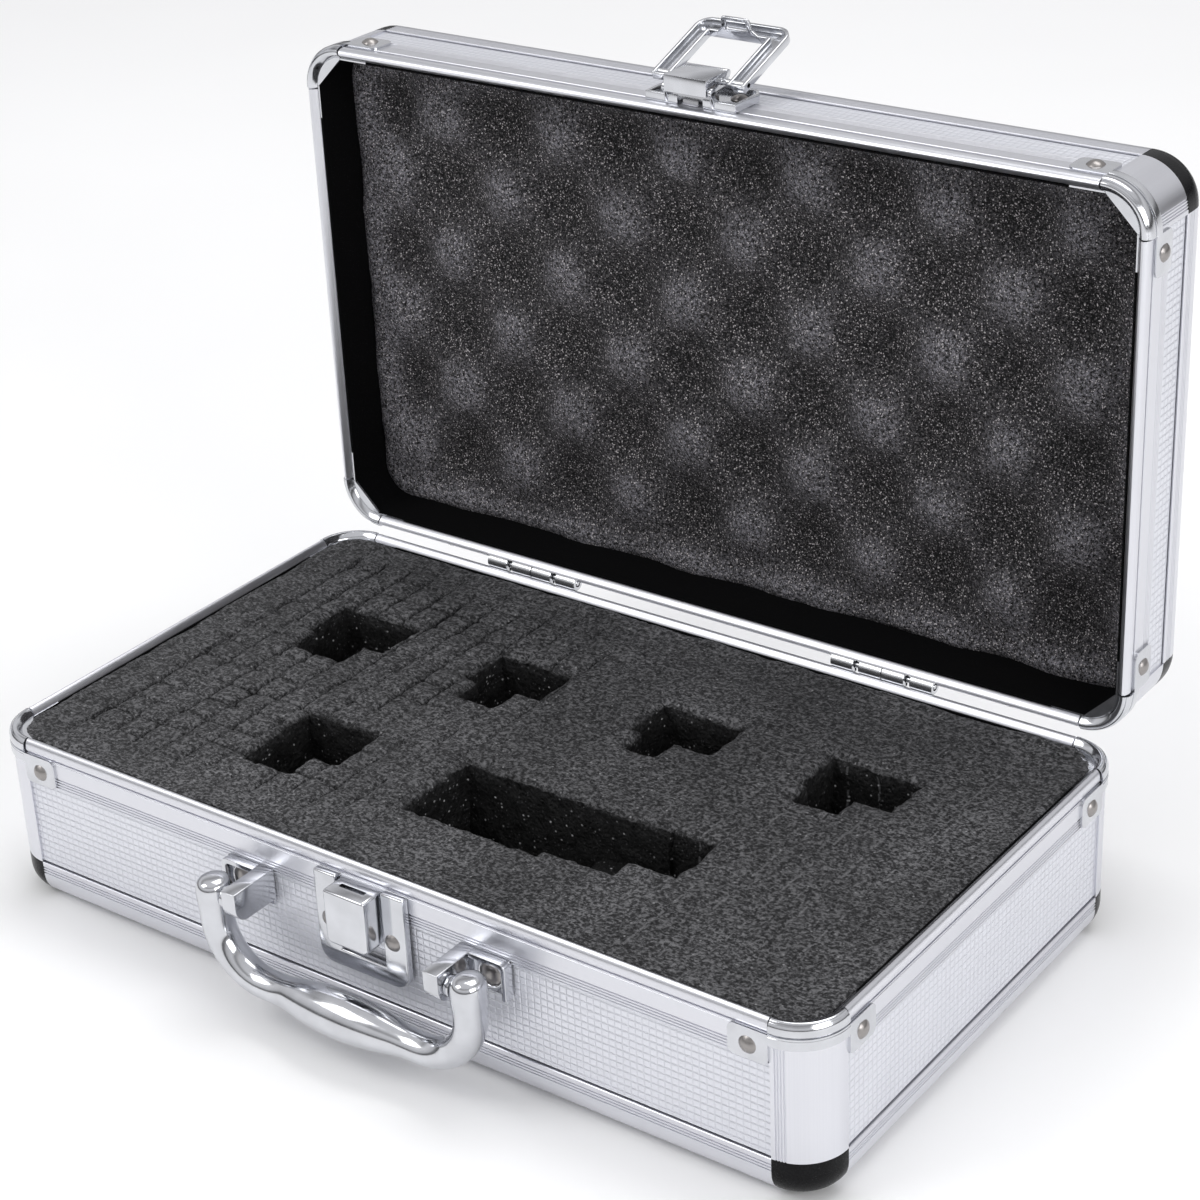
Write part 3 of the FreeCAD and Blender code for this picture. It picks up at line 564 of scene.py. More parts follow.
def corner_metal(tray):
    """A tray's four corners: bright caps with tabs and webs, posts, and black ball corners."""
    place, height = TRAYS[tray]
    lift = Matrix.Translation((0, 0, height))
    tab, proud, inner = 11.0, 0.6, ROUND - THICK
    hook = [(-9, -1.75), (-8.2, -3.0), (0.6, -3.0), (0.6, -1.75)]
    ball = [(0, 0), (3, 0)] + arc((ROUND - 8, 8), 8, 270, 360, 10)
    ball += [(ROUND, 11.8), (ROUND - 0.2, 12), (9.8, 12), (9.8, 3.2), (0, 3.2)]
    caps, posts, balls = Piece(place), Piece(place), Piece(place)
    for turn in corner_turns():
        caps.lathe(cap_ring(), turn @ lift, 90, 20)
        for base in (axes((0, ROUND, 0), X, Z, Y), axes((ROUND, 0, 0), Y, Z, X)):
            caps.run(tab_outline(tab), -0.02, proud, turn @ lift @ base)
        caps.run(arc((0, 0), inner + 0.25, 0, 90, 14), -2.5, -1.75, turn @ lift)
        for base in (axes((0, inner, 0), X, Z, Y), axes((inner, 0, 0), Y, Z, X)):
            caps.run(hook, -0.45, 0.02, turn @ lift @ base)
        posts.run(post_plan(), 12.05, height - 7.1, turn)
        balls.lathe(ball, turn, 90, 20)
    caps.done(f"{tray}_rim_corners", "bright_chrome", tray)
    posts.done(f"{tray}_corner_posts", "aluminium_profile", tray,
               material="aluminium_z" if tray == "base" else "aluminium_y")
    balls.done(f"{tray}_ball_corners", "black_corner", tray)


for tray in TRAYS:
    corner_metal(tray)


# ---------------- rivets, pins and feet

HEAD = [(0, 1.1), (0.5, 1.08), (1.0, 0.98), (1.5, 0.76), (1.95, 0.45), (2.25, 0.16), (2.4, -0.02)]
SHANK = [(1.5, -0.05), (1.5, -2), (0, -2)]


def facing(at, out):
    """A frame whose third axis points along out."""
    out = Vector(out)
    across = Z.cross(out) if abs(out.z) < 0.9 else X.cross(out)
    return axes(at, across.normalized(), out.cross(across.normalized()), out)


def rivets(node, tray, spots, size=1.0):
    """A tray's domed rivets at spots, each a place and the way its head points."""
    piece = Piece(TRAYS[tray][0])
    for at, out in spots:
        piece.lathe([(r * size, h) for r, h in HEAD + SHANK], facing(at, out), 360, 28)
    piece.done(node, "rivet_steel", tray)


for tray, (place, height) in TRAYS.items():
    spots = []
    for sx, sy, _ in CORNERS:
        level = height - 8.5
        spots.append(((sx * (HALF_W - 18.5), sy * (HALF_D + 0.6), level), (0, sy, 0)))
        spots.append(((sx * (HALF_W + 0.6), sy * (HALF_D - 18.5), level), (sx, 0, 0)))
    rivets(f"{tray}_corner_rivets", tray, spots)

hinge_x = [(-76, -44), (44, 76)]
spots, lid_spots = [], []
for start, end in hinge_x:
    for x in ((start + end) / 2 - 10, (start + end) / 2 + 10):
        spots.append(((x, HALF_D + 0.8, BASE_H - 7.4), (0, 1, 0)))
        lid_spots.append(((x, -HALF_D - 0.8, LID_H - 7.4), (0, -1, 0)))
rivets("base_leaf_rivets", "base", spots)
rivets("lid_leaf_rivets", "lid", lid_spots)
front = -HALF_D
spots = [((side * 10.3, front - 2.4, 33.4), (0, -1, 0)) for side in (-1, 1)]
rivets("keeper_rivets", "base", spots)
spots = [((side * 10, HALF_D + 1.2, LID_H - 11), (0, 1, 0)) for side in (-1, 1)]
rivets("latch_plate_rivets", "lid", spots)
spots = [((side * 40.2, front - 0.75, 34.6), (0, -1, 0)) for side in (-1, 1)]
rivets("handle_bracket_rivets", "base", spots, size=1.35)

foot_x, foot_deep = 96, 3.2
foot = [(0, 0), (6.5, 0), (6.5, foot_deep - 1.1)] + arc((5.5, foot_deep - 1.0), 1.0, 0, 90, 4)
foot += [(2.6, foot_deep), (2.2, foot_deep - 0.7), (0, foot_deep - 0.7)]
foot_spots = {"base": ((HALF_D - 0.6, 25), (0, 1, 0)), "lid": ((-HALF_D, LID_H - 12), (0, -1, 0))}
for tray, (place, height) in TRAYS.items():
    feet = Piece(place)
    spot, out = foot_spots[tray]
    for side in (-1, 1):
        feet.lathe(foot, facing((side * foot_x, *spot), out), 360, 32)
    feet.done(f"{tray}_rear_feet", "black_rubber", tray)


def middle(node):
    return (low(node) + high(node)) / 2


def pins(node, body, spans, radius):
    """Round pins along X, with chamfered ends."""
    piece, at = Piece(), middle(node)
    for start, end in spans:
        outline = [(0, start), (radius - 0.2, start), (radius, start + 0.2), (radius, end - 0.2),
                   (radius - 0.2, end), (0, end)]
        piece.lathe(outline, axes((0, at.y, at.z), Y, Z, X), 360, 20)
    piece.done(node, "bright_steel", body)


pins("hinge_pins", "base", hinge_x, 0.8)
lever_reach, loop_reach = low("latch_lever_pin").x, low("latch_loop_pin").x
pins("latch_lever_pin", "lid", [(lever_reach, -lever_reach)], 0.8)
pins("latch_loop_pin", "lever", [(loop_reach, -loop_reach)], 0.9)
pins("handle_pins", "base", [(31.2, 41.3), (-41.3, -31.2)], 1.6)

# ---------------- hinges

HINGE_OUTER, HINGE_THICK = 2.2, 1.1
LEAF_NEAR, LEAF_FAR = 0.25, -0.55


def leaves(tray):
    """Both hinges' leaves of one tray: plates behind the rim, webs, and every other knuckle."""
    piece = Piece()
    pin = middle("hinge_pins")
    turn = axes((0, pin.y, pin.z), Y, Z, X) if tray == "base" else axes((0, pin.y, pin.z), -Z, -Y, X)
    lift = 0.3 if tray == "lid" else 0.0
    for start, end in hinge_x:
        knuckle = (end - start - 4.1) / 4
        spans, at = [], start
        for wait in (1.9, 0.3, 1.9, 0.0):
            spans.append((at, at + knuckle))
            at += knuckle + wait
        for first, last in (spans[0::2] if tray == "base" else spans[1::2]):
            inner = HINGE_OUTER - HINGE_THICK
            tube = [(inner, first), (HINGE_OUTER - 0.15, first), (HINGE_OUTER, first + 0.15),
                    (HINGE_OUTER, last - 0.15), (HINGE_OUTER - 0.15, last), (inner, last)]
            piece.lathe(tube, turn, 360, 32)
            piece.run([(LEAF_FAR, -0.9), (LEAF_NEAR, -0.9), (LEAF_NEAR, lift - 3.0), (LEAF_FAR, lift - 3.0)],
                      first, last, turn)
        body = [(LEAF_FAR, -2.85), (LEAF_NEAR, -2.85), (LEAF_NEAR, -20.5), (LEAF_NEAR - 0.2, -20.85),
                (LEAF_FAR, -20.85)]
        piece.run([(a, b + lift) for a, b in body], start, end, turn)
    piece.done(f"{tray}_hinge_leaves", "bright_steel", tray)


for tray in TRAYS:
    leaves(tray)

# ---------------- the latch and the handle's brackets

def latch_plate():
    """The latch's foot: a lobed tray of plate, notched in front, with two ears for the lever's pin."""
    near, far, half, lobe, thick = RIM_Y + 2.4, RIM_Y + 17.0, 14.2, 4.2, 2.4
    turn = axes((0, 0, FACE_Z), X, Y, Z)

    def lobed(inset):
        x, y, r = half - inset, far - inset, lobe - inset
        return arc((x - r, y - r), r, 0, 90, 8) + arc((r - x, y - r), r, 90, 180, 8)
    piece = Piece()
    front_edge = near + 0.3
    plan = [(0.3 - half, front_edge), (-4, front_edge), (-4, near + 2.6), (4, near + 2.6), (4, front_edge)]
    piece.run(plan + [(half - 0.3, front_edge)] + lobed(0.3), 0.02, 1.0, turn)
    wall = 0.95
    outside = [(4, near), (half, near)] + lobed(0) + [(-half, near), (-4, near)]
    inside = [(-4, near + wall), (wall - half, near + wall)] + lobed(wall)[::-1]
    inside += [(half - wall, near + wall), (4, near + wall)]
    piece.run(outside + inside, 0.0, thick, turn)
    for side in (-1, 1):
        start = min(side * 6.8, side * 7.8)
        ear = [(near, 0.1), (near + 2.6, 0.1), (near + 2.4, 3.2)] + arc((near - 0.4, 4.6), 1.35, 20, 250, 10)
        piece.run(ear, start, start + 1.0, axes((0, 0, FACE_Z), Y, Z, X))
    piece.done("latch_plate", "bright_chrome", "lid", bevel=0.22, segments=3, limit=40)


latch_plate()
soften("latch_spring", "spring_steel", "lid", 0.08)
soften("latch_lever", "bright_chrome", "lever", 0.22)


def carved(bm, other):
    """Cuts the other mesh out of the first and gives the outcome; both are in millimetres."""
    pair = []
    for number, part in enumerate((bm, other)):
        bmesh.ops.remove_doubles(part, verts=part.verts, dist=1e-4)
        bmesh.ops.recalc_face_normals(part, faces=part.faces)
        mesh = bpy.data.meshes.new(f"operand_{number}")
        part.to_mesh(mesh)
        part.free()
        pair.append(bpy.data.objects.new(f"operand_{number}", mesh))
        bpy.context.scene.collection.objects.link(pair[-1])
    modifier = pair[0].modifiers.new("carve", "BOOLEAN")
    modifier.operation, modifier.solver, modifier.object = "DIFFERENCE", "EXACT", pair[1]
    bpy.context.view_layer.update()
    graph = bpy.context.evaluated_depsgraph_get()
    made = bmesh.new()
    made.from_mesh(pair[0].evaluated_get(graph).to_mesh())
    for obj in pair:
        mesh = obj.data
        bpy.data.objects.remove(obj)
        bpy.data.meshes.remove(mesh)
    return made


def merged(piece, bm):
    """Adds a finished mesh to a piece."""
    mesh = bpy.data.meshes.new("merged")
    bm.to_mesh(mesh)
    bm.free()
    piece.bm.from_mesh(mesh)
    bpy.data.meshes.remove(mesh)


def keeper():
    """The catch on the base: a raised U of plate round a hollow box with a slot in its top."""
    bottom, top, half, strip = 20.0, 47.0, 14.5, 7.3
    band, bend = bottom + 5.2, 4.5
    plan = [(-half, top), (-strip, top), (-strip, band), (strip, band), (strip, top), (half, top)]
    plan += arc((half - bend, bottom + bend), bend, 0, -90, 8)
    plan += arc((bend - half, bottom + bend), bend, -90, -180, 8)
    turn = axes((0, front, 0), X, Z, -Y)
    plate, catch, slot, hollow = Piece(), Piece(), Piece(), Piece()
    plate.run(plan, 0.05, 2.4, turn)
    wide, low_z, high_z, deep, round_off = 6.6, 31.0, 46.5, 8.0, 1.5
    face = arc((wide - round_off, low_z + round_off), round_off, 0, -90, 4)
    face += arc((round_off - wide, low_z + round_off), round_off, -90, -180, 4)
    catch.run(face + [(-wide, high_z), (wide, high_z)], 0.4, deep, turn)
    slot.block((-4, front - 4.6, high_z - 4), (4, front - 3.2, high_z + 1))
    hollow.block((-5.6, front - deep + 0.9, low_z - 2), (5.6, front - 1.2, high_z - 0.9))
    whole = Piece()
    merged(whole, plate.cleaned(0.5, segments=3))
    merged(whole, carved(carved(catch.cleaned(0.7, segments=3), hollow.bm), slot.bm))
    whole.block((-8, front - 0.7, 29), (8, front - 0.02, top - 0.6))
    whole.done("latch_keeper", "bright_chrome", "base", sharp=40)


def bracket(name, side):
    """A riveted cup of plate, and the thick cheek inside the arm that holds the handle's pin."""
    inner, outer, cheek_end = 30.5, 46.0, 35.0
    low_z, cheek_z, top = 29.3, 31.0, 40.0
    piece = Piece()
    flip = axes((0, front, 0), X * side, Z, -Y)
    piece.block((inner + 0.2, low_z, 0.02), (outer - 0.3, top - 0.3, 0.7), flip)
    bend = 1.6
    rim = [(outer - 1.3, low_z), (outer, low_z)] + arc((outer - bend, top - bend), bend, 0, 90, 5)
    rim += [(cheek_end - 0.05, top), (cheek_end - 0.05, top - 1.4)]
    rim += arc((outer - 2.3, top - 2.4), 1.0, 90, 0, 4)
    piece.run(rim, 0.04, 3.0, flip)
    profile = [(0.06, cheek_z), (10.4, cheek_z)] + arc((10.4, cheek_z + 4.6), 4.6, 270, 360, 8)
    profile += [(15, top), (0.06, top)]
    piece.run(profile, inner, cheek_end, axes((0, front, 0), -Y, Z, X * side))
    piece.lathe([(3.3, 0.6), (3.9, 0.6), (3.9, 1.2), (3.6, 1.4), (3.3, 1.2)],
                axes((side * 40.2, front, 34.6), X * side, Z, -Y), 360, 32)
    piece.done(name, "bright_chrome", "base", bevel=0.45, segments=3)


def latch_loop():
    """The pull loop: a stamped channel open at its foot, with a windowed tongue on its inner edge."""
    pin, tilt = middle("latch_loop_pin"), math.radians(20)
    ahead, up = Vector((0, math.cos(tilt), math.sin(tilt))), Vector((0, -math.sin(tilt), math.cos(tilt)))
    turn = axes((0, pin.y, pin.z), X, ahead, up)
    half, bar, foot, head = 14.6, 5.4, -2.1, 24.1
    piece = Piece()

    def hoop(inset, width, bottom, top, bend):
        """A U of wall, its outer face that far inside the loop's outline."""
        x, y, r = half - inset, head - inset, max(0.3, bend - inset)
        plan = [(-x, foot)] + arc((r - x, y - r), r, 180, 90, 8)
        plan += arc((x - r, y - r), r, 90, 0, 8) + [(x, foot)]
        x, y, r = x - width, y - width, max(0.3, r - width)
        plan += [(x, foot)] + arc((x - r, y - r), r, 0, 90, 6)
        plan += arc((r - x, y - r), r, 90, 180, 6) + [(-x, foot)]
        piece.run(plan, bottom, top, turn)
    hoop(0.1, bar - 0.2, -1.15, -0.45, 4.2)
    hoop(0.0, 1.0, -1.2, 1.3, 4.2)
    hoop(bar - 0.95, 0.95, -1.2, 1.15, 5.4)
    for side in (-1, 1):
        cap = sorted((side * half, side * (half - bar)))
        piece.block((cap[0] + 0.05, foot - 0.05, -1.18), (cap[1] - 0.05, foot + 0.75, 1.05), turn)
    y0 = head - bar - 0.05
    tip, root, crown, window = 4.4, 6.0, 6.0, 3.3
    right = [(root + 1.6, -1.1), (root + 0.2, 1.3), (tip + 0.4, 2.6), (tip, crown - 0.6), (tip - 0.6, crown),
             (window - 0.2, crown), (window - 0.2, crown - 1.0), (window, 2.4)]
    left = [(-x, z) for x, z in right]
    tongue = left[:1] + right + left[:0:-1]
    sheet = axes((0, pin.y, pin.z), X, up, -ahead)
    piece.run(tongue, -y0 - 0.9, -y0, sheet)
    piece.block((-window, crown - 1.1, -y0 - 0.88), (window, crown, -y0 - 0.02), sheet)
    piece.done("latch_loop", "bright_chrome", "loop", bevel=0.28, segments=3, limit=40)


latch_loop()
keeper()
bracket("handle_bracket_right", 1)
bracket("handle_bracket_left", -1)


def handle():
    """The swinging grip: thick arms with domed heads, two bends, and a bar with a lens-shaped swelling."""
    top, pivot = middle("handle_pins").z, middle("handle_pins").y
    arm, drop, bend, bar, head, deep = 41.3, 22.8, 16.0, 3.95, 4.5, 1.12
    path, radii = [], []

    def oval(radius):
        """Deeper front to back than across."""
        return lambda turn: radius * deep / math.hypot(deep * math.cos(turn), math.sin(turn))

    def ring(x, z, radius):
        path.append(Vector((x, pivot, z)))
        radii.append(oval(radius))
    for t in (89, 80, 70, 60, 50, 40, 28, 14, 0):
        a = math.radians(t)
        ring(-arm, top + 0.8 + 4.0 * math.sin(a) ** 0.75, head * math.cos(a) ** 0.6)
    for step in range(1, 8):
        share = step / 7
        slim = math.sin(share * math.pi / 2) ** 1.5
        ring(-arm, top - share * (drop - bend), head - (head - bar - 0.15) * slim)
    for step in range(1, 15):
        share = step / 14
        a = math.radians(180 + 90 * share)
        elbow = bend - arm, top - drop + bend
        ring(elbow[0] + bend * math.cos(a), elbow[1] + bend * math.sin(a), bar + 0.15 * (1 - share))
    half = arm - bend
    plain = oval(bar)

    def pad(x):
        """The bar's section melted with a larger circle set forward and down of it."""
        share = max(0.0, 1 - (x / 25.0) ** 2) ** 1.25
        fat, shift = 3.1 + 3.2 * share, 1.3 * share ** 0.8
        toward = math.radians(-128)

        def reach(turn):
            inside = fat ** 2 - (shift * math.sin(turn - toward)) ** 2
            pushed = shift * math.cos(turn - toward) + math.sqrt(inside) if inside > 0 else 0.0
            base = plain(turn)
            blend = 0.7
            h = max(blend - abs(base - pushed), 0.0) / blend
            return max(base, pushed) + h * h * blend / 4
        return reach
    elbow_end, steps = len(path), 44
    for step in range(1, steps):
        x = -half + 2 * half * step / steps
        path.append(Vector((x, pivot, top - drop)))
        radii.append(pad(x))
    for point, radius in list(zip(path[:elbow_end], radii[:elbow_end]))[::-1]:
        path.append(Vector((-point.x, point.y, point.z)))
        radii.append(radius)
    piece = Piece()
    piece.tube(path, radii, 48, Y)
    for side in (-1, 1):
        nub = [(0, 0), (3.0, 0), (2.9, 1.5), (2.3, 2.0), (0, 2.0)]
        piece.lathe(nub, axes((side * (arm - 4.2), pivot, top), Y, Z, X * -side), 360, 24)
    piece.done("handle_grip", "bright_chrome", "handle", sharp=60)


handle()


# ---------------- foams

def wobble(point, scale, seed):
    """Smooth noise of about -0.5 to 0.5; each seed looks elsewhere in it."""
    return noise.noise(Vector(point) * scale + Vector((seed * 7.3, seed * 3.1, seed * 1.7)))


FOAM_LOW, FOAM_HIGH = low("base_foam_block"), high("base_foam_block")
FOAM_CORNER = 9.1
DEEP, SHALLOW = FOAM_LOW.z + 0.1, FOAM_HIGH.z - 16
# Plucked pockets as (left, front, right, rear, floor): four T shapes behind, hollows and a ledge in front.
POCKETS = [
    (-100, 19, -72, 35.5, DEEP), (-97, 9, -79, 19, DEEP),
    (-42, 20, -17, 36, DEEP), (-38, 10, -25, 20, DEEP),
    (14, 20, 40, 36, DEEP), (18, 11, 28, 20, DEEP),
    (68, 20, 95, 36, DEEP), (70, 12, 84, 20, DEEP),
    (-67, -36, -42, -18.5, DEEP), (-66, -46, -50, -36, DEEP),
    (-13, -44, 31, -17, DEEP), (52, -34, 66, -16, DEEP),
    (31, -41, 52, -17, SHALLOW),
]


def spread(first, last, step, extra):
    """Grid lines from first to last, with the extra ones kept and those too near them left out."""
    count = round((last - first) / step)
    even = [first + (last - first) * i / count for i in range(count + 1)]
    kept = [v for v in even[1:-1] if all(abs(v - e) > 0.45 * step for e in extra)]
    return sorted({first, last, *kept, *extra})


def outline_pull(x, y, half_w, half_d, corner):
    """Moves a grid point so that the grid's square corners follow the block's rounded ones."""
    cx, cy = half_w - corner, half_d - corner
    u, v = abs(x) - cx, abs(y) - cy
    if u <= 0 or v <= 0:
        return x, y
    longest, length = max(u, v), math.hypot(u, v)
    if length < 1e-6:
        return x, y
    u, v = u * longest / length, v * longest / length
    return math.copysign(cx + u, x), math.copysign(cy + v, y)


def base_foam():
    """The diced block: a grid with the plucked pockets sunk in it, then crowned, grooved and roughened."""
    half_w, half_d, top = FOAM_HIGH.x, FOAM_HIGH.y, FOAM_HIGH.z
    edges_x = sorted({v for p in POCKETS for v in (p[0], p[2])})
    edges_y = sorted({v for p in POCKETS for v in (p[1], p[3])})
    near = lambda v, group, gap: all(abs(v - g) > gap for g in group)
    cuts_x = [c + o for c in CUTS_X for o in (-0.5, 0, 0.5) if near(c + o, edges_x, 0.3)]
    cuts_y = [c + o for c in CUTS_Y for o in (-0.5, 0, 0.5) if near(c + o, edges_y, 0.3)]
    rims_x = [e + o for e in edges_x for o in (-0.7, 0, 0.7)]
    rims_y = [e + o for e in edges_y for o in (-0.7, 0, 0.7)]
    xs = spread(-half_w, half_w, 0.95, sorted({round(v, 3) for v in cuts_x + rims_x}))
    ys = spread(-half_d, half_d, 0.95, sorted({round(v, 3) for v in cuts_y + rims_y}))
    levels = sorted({round(DEEP + (top - DEEP) * i / 18, 4) for i in range(19)} | {round(SHALLOW, 4)})
    shallow = levels.index(round(SHALLOW, 4))
    last = len(levels) - 1

    def depth(x, y):
        for x0, y0, x1, y1, floor in POCKETS:
            if x0 < x < x1 and y0 < y < y1:
                return 0 if floor == DEEP else shallow
        return last
    cell = [[depth((xs[i] + xs[i + 1]) / 2, (ys[j] + ys[j + 1]) / 2) for j in range(len(ys) - 1)]
            for i in range(len(xs) - 1)]
    ids, points, faces = {}, [], []

    def vertex(i, j, k):
        if (i, j, k) not in ids:
            ids[i, j, k] = len(points)
            points.append((i, j, k))
        return ids[i, j, k]
    for i in range(len(xs) - 1):
        for j in range(len(ys) - 1):
            k = cell[i][j]
            faces.append([vertex(i, j, k), vertex(i + 1, j, k), vertex(i + 1, j + 1, k), vertex(i, j + 1, k)])
            right, rear, far = (i + 1, j), (i, j + 1), (i + 1, j + 1)
            for (ni, nj), a, b in ((right, right, far), (rear, far, rear)):
                other = cell[ni][nj] if ni < len(xs) - 1 and nj < len(ys) - 1 else k
                for step in range(min(k, other), max(k, other)):
                    quad = [vertex(*a, step), vertex(*b, step), vertex(*b, step + 1), vertex(*a, step + 1)]
                    faces.append(quad if k < other else quad[::-1])
    ends = [((i, a), (i, b)) for j in range(len(ys) - 1)
            for i, a, b in ((0, j + 1, j), (len(xs) - 1, j, j + 1))]
    ends += [((a, j), (b, j)) for i in range(len(xs) - 1)
             for j, a, b in ((0, i, i + 1), (len(ys) - 1, i + 1, i))]
    for a, b in ends:
        for step in range(last):
            faces.append([vertex(*a, step), vertex(*b, step), vertex(*b, step + 1), vertex(*a, step + 1)])

    def pocket_gap(x, y):
        """How far a point lies outside the nearest pocket."""
        best = 99.0
        for x0, y0, x1, y1, _ in POCKETS:
            dx, dy = max(x0 - x, 0, x - x1), max(y0 - y, 0, y - y1)
            best = min(best, math.hypot(dx, dy))
        return best

    def strip(value, cuts):
        """Where a point lies in its slice: 0 on the middle line and 1 at a cut, and the slice's number."""
        for number in range(len(cuts) - 1):
            if cuts[number] <= value <= cuts[number + 1]:
                middle = (cuts[number] + cuts[number + 1]) / 2
                return abs(value - middle) / ((cuts[number + 1] - cuts[number]) / 2), number
        return 0.0, -1
    moved = []
    for i, j, k in points:
        x, y, z = xs[i], ys[j], levels[k]
        px, py = outline_pull(x, y, half_w, half_d, FOAM_CORNER)
        border = max(0.0, min(half_w - abs(x), half_d - abs(y)))
        lump = wobble((x, y, z), 0.16, 1)
        gap = pocket_gap(x, y)
        if k == last:
            left = min(1.0, max(0.0, (12 - x) / 70))
            left *= min(1.0, max(0.0, (y + 64) / 10)) * min(1.0, max(0.0, (x + 121) / 5))
            left *= min(1.0, max(0.0, (66 - y) / 8))
            soft = 0.12 + 0.88 * left
            u, row = strip(x + 0.5 * wobble((x, y, 0), 0.09, 4), CUTS_X)
            v, column = strip(y + 0.6 * wobble((x, y, 0), 0.09, 6), CUTS_Y)
            cross = max(0.0, wobble((row * 11.3, column * 7.9, 0), 0.37, 8) + 0.25)
            uneven = 0.55 + 0.9 * max(0.0, wobble((x, y, 5), 0.055, 41) + 0.15)
            drop = soft * uneven * (0.4 * u ** 3 + 1.9 * u ** 14)
            drop += soft * uneven * (0.35 * v ** 3 + 1.9 * v ** 16) * min(1.0, cross + 0.9 * left)
            drop += soft * 0.45 * (0.5 + wobble((row * 5.1, column * 3.3, 2), 0.41, 9))
            drop += 0.35 * (0.5 + lump) + 0.16 * (0.5 + wobble((x, y, z), 0.55, 2))
            drop += 1.3 * math.exp(-(gap / 0.9) ** 2) + 0.5 * math.exp(-(border / 0.7) ** 2)
            drop += 0.5 * math.exp(-(border / 6) ** 2) * (0.5 + wobble((x, y, 3), 0.07, 12))
            z += 1.1 * math.exp(-(border / 5) ** 2)
            z -= max(0.0, drop)
        elif k > 0:
            z -= 0.4 * (0.5 + lump)
        if border > 0.01 and gap < 2.5:
            fade = math.exp(-(gap / 1.6) ** 2)
            px += fade * (0.9 * wobble((x, y, z), 0.30, 13) + 0.35 * wobble((x, y, z), 1.1, 14))
            py += fade * (0.9 * wobble((x, y, z), 0.30, 15) + 0.35 * wobble((x, y, z), 1.1, 16))
        moved.append((px, py, z))
    piece = Piece()
    piece.mesh(moved, faces)
    made = piece.done("base_foam_block", "pluck_foam", "base", sharp=60)


def slab(node, slot, body, half_w, half_d, bottom, top_at, step):
    """A foam sheet: a grid over its top, sides down to its flat back."""
    xs, ys = spread(-half_w, half_w, step, []), spread(-half_d, half_d, step, [])
    nx, ny = len(xs), len(ys)
    points, faces = [], []
    for i, x in enumerate(xs):
        for j, y in enumerate(ys):
            px, py = outline_pull(x, y, half_w, half_d, FOAM_CORNER)
            points.append((px, py, top_at(x, y)))
    for i in range(nx - 1):
        for j in range(ny - 1):
            faces.append([i * ny + j, (i + 1) * ny + j, (i + 1) * ny + j + 1, i * ny + j + 1])
    loop = [i * ny for i in range(nx)] + [(nx - 1) * ny + j for j in range(1, ny)]
    loop += [i * ny + ny - 1 for i in range(nx - 2, -1, -1)] + [j for j in range(ny - 2, 0, -1)]
    rows = [loop]
    for share in (0.33, 0.66, 1.0):
        row = []
        for at in loop:
            x, y, z = points[at]
            row.append(len(points))
            points.append((x, y, z + (bottom - z) * share))
        rows.append(row)
    for upper, lower in zip(rows, rows[1:]):
        for a in range(len(loop)):
            b = (a + 1) % len(loop)
            faces.append([upper[a], lower[a], lower[b], upper[b]])
    faces.append(rows[-1][::-1])
    piece = Piece(TRAYS[body][0])
    piece.mesh(points, faces)
    made = piece.done(node, slot, body, sharp=60)


WAVE_X = high("lid_wave_foam").x
WAVE_Y = (high("lid_wave_foam").z - low("lid_wave_foam").z) / 2


def crate(x, y):
    """The egg-crate's height in the lid's own frame: waves that calm down towards the sheet's edges."""
    crest, hollow = LID_H - 16.0, LID_H - 16.0 - WAVE
    wave = math.cos(math.pi * (x + 97) / 20.5) * math.cos(math.pi * (y - 12) / 21.5)
    edge = min(WAVE_X - abs(x), WAVE_Y - abs(y))
    calm = math.exp(-(max(0.0, edge) / 7.5) ** 2)
    share = (1 - 0.75 * calm) * ((wave + 1) / 2) ** 1.25 + 0.75 * calm * 0.95
    bulge = 0.7 * calm * (1 + wobble((x, y, 4), 0.08, 23)) - 1.0 * math.exp(-(edge / 1.3) ** 2)
    bulge += 1.5 * math.exp(-((x + 123) / 14) ** 2)
    rough = 0.5 * (0.5 + wobble((x, y, 0), 0.12, 21)) + 0.18 * (0.5 + wobble((x, y, 0), 0.9, 22))
    return hollow + (crest - hollow) * share + bulge - rough


def pad_top(x, y):
    return high("base_foam_pad").z - 0.25 * (0.5 + wobble((x, y, 0), 0.2, 31))


base_foam()
slab("base_foam_pad", "pluck_foam", "base", high("base_foam_pad").x, high("base_foam_pad").y,
     low("base_foam_pad").z, pad_top, 2.4)
slab("lid_wave_foam", "wave_foam", "lid", WAVE_X, WAVE_Y, LID_TOP - high("lid_wave_foam").y, crate, 1.3)

# ---------------- CAD nodes that stay

for tray, flat in (("base", "bottom"), ("lid", "top")):
    looks = {f"{tray}_{wall}_panel": "panel_laminate" for wall in ("front", "rear", "left", "right", flat)}
    looks[f"{tray}_lining"] = "black_lining"
    for node, look in looks.items():
        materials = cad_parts[node].data.materials
        materials.clear()
        materials.append(MATERIALS[look])

# ---------------- floor, light and camera

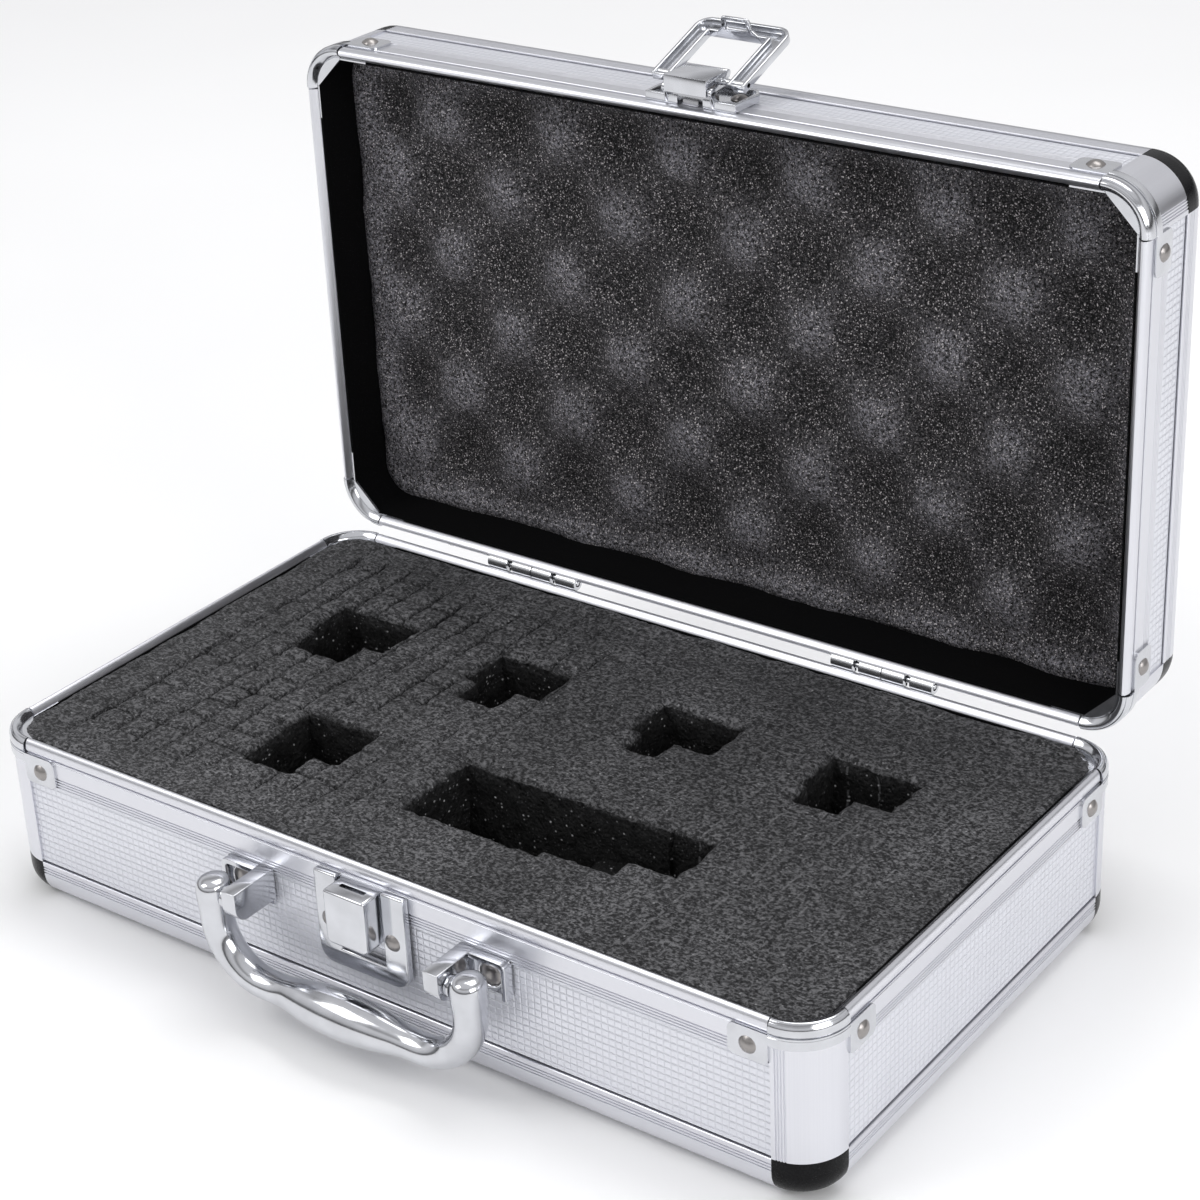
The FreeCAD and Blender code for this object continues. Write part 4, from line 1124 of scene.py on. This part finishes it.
scene = bpy.context.scene
floor_mesh = bpy.data.meshes.new("floor")
floor_half = 4.0
floor_corners = [(x * floor_half, y * floor_half, 0) for x, y in ((-1, -1), (1, -1), (1, 1), (-1, 1))]
floor_mesh.from_pydata(floor_corners, [], [(0, 1, 2, 3)])
floor = bpy.data.objects.new("floor", floor_mesh)
floor.location.z = -0.0003
scene.collection.objects.link(floor)
paper = Graph("pale_floor", (0.93, 0.93, 0.93), 0.0, 0.9)
paper.color(paper.ramp(paper.noise(0.004, 2), [(0.3, 0.92), (0.7, 0.95)]))
floor_mesh.materials.append(paper.mat)


def lamp(name, at, aim, size, power, size_y):
    """A soft rectangular light, in metres and watts."""
    light = bpy.data.lights.new(name, "AREA")
    light.shape = "RECTANGLE"
    light.size, light.size_y = size, size_y
    light.energy = power
    made = bpy.data.objects.new(name, light)
    made.location = at
    made.rotation_euler = (Vector(aim) - Vector(at)).to_track_quat("-Z", "Y").to_euler()
    scene.collection.objects.link(made)


lamp("key", (-0.9, -1.0, 1.5), (0, 0, 0.08), 0.9, 9, 0.9)
lamp("fill", (1.5, -0.4, 0.7), (0, 0, 0.03), 0.9, 9, 0.8)
lamp("top", (0.1, 0.5, 1.6), (0, 0, 0.05), 1.2, 8, 0.7)

world = bpy.data.worlds.new("studio")
world.use_nodes = True
tree = world.node_tree
back = tree.nodes["Background"]
coords = tree.nodes.new("ShaderNodeTexCoord")
parts = tree.nodes.new("ShaderNodeSeparateXYZ")
ramp = tree.nodes.new("ShaderNodeValToRGB")
tree.links.new(coords.outputs["Generated"], parts.inputs[0])
tree.links.new(parts.outputs[2], ramp.inputs[0])
stops = [(0.0, 0.10), (0.10, 0.16), (0.22, 0.72), (0.5, 0.95), (0.66, 0.40), (0.8, 0.85), (1.0, 0.9)]
while len(ramp.color_ramp.elements) < len(stops):
    ramp.color_ramp.elements.new(0.5)
for element, (position, shade) in zip(ramp.color_ramp.elements, stops):
    element.position = position
    element.color = (shade, shade, shade * 1.02, 1)
tree.links.new(ramp.outputs[0], back.inputs[0])
back.inputs[1].default_value = 0.85
scene.world = world
scene.view_settings.view_transform = "Standard"

camera_data = bpy.data.cameras.new("camera")
camera_data.lens = 83.77
camera_data.sensor_width = 36
camera_data.clip_end = 20
camera = bpy.data.objects.new("camera", camera_data)
camera.location = (0.40316, -0.50403, 0.42126)
camera.rotation_euler = [math.radians(a) for a in (62.877, 2.472, 35.898)]
scene.collection.objects.link(camera)
scene.camera = camera
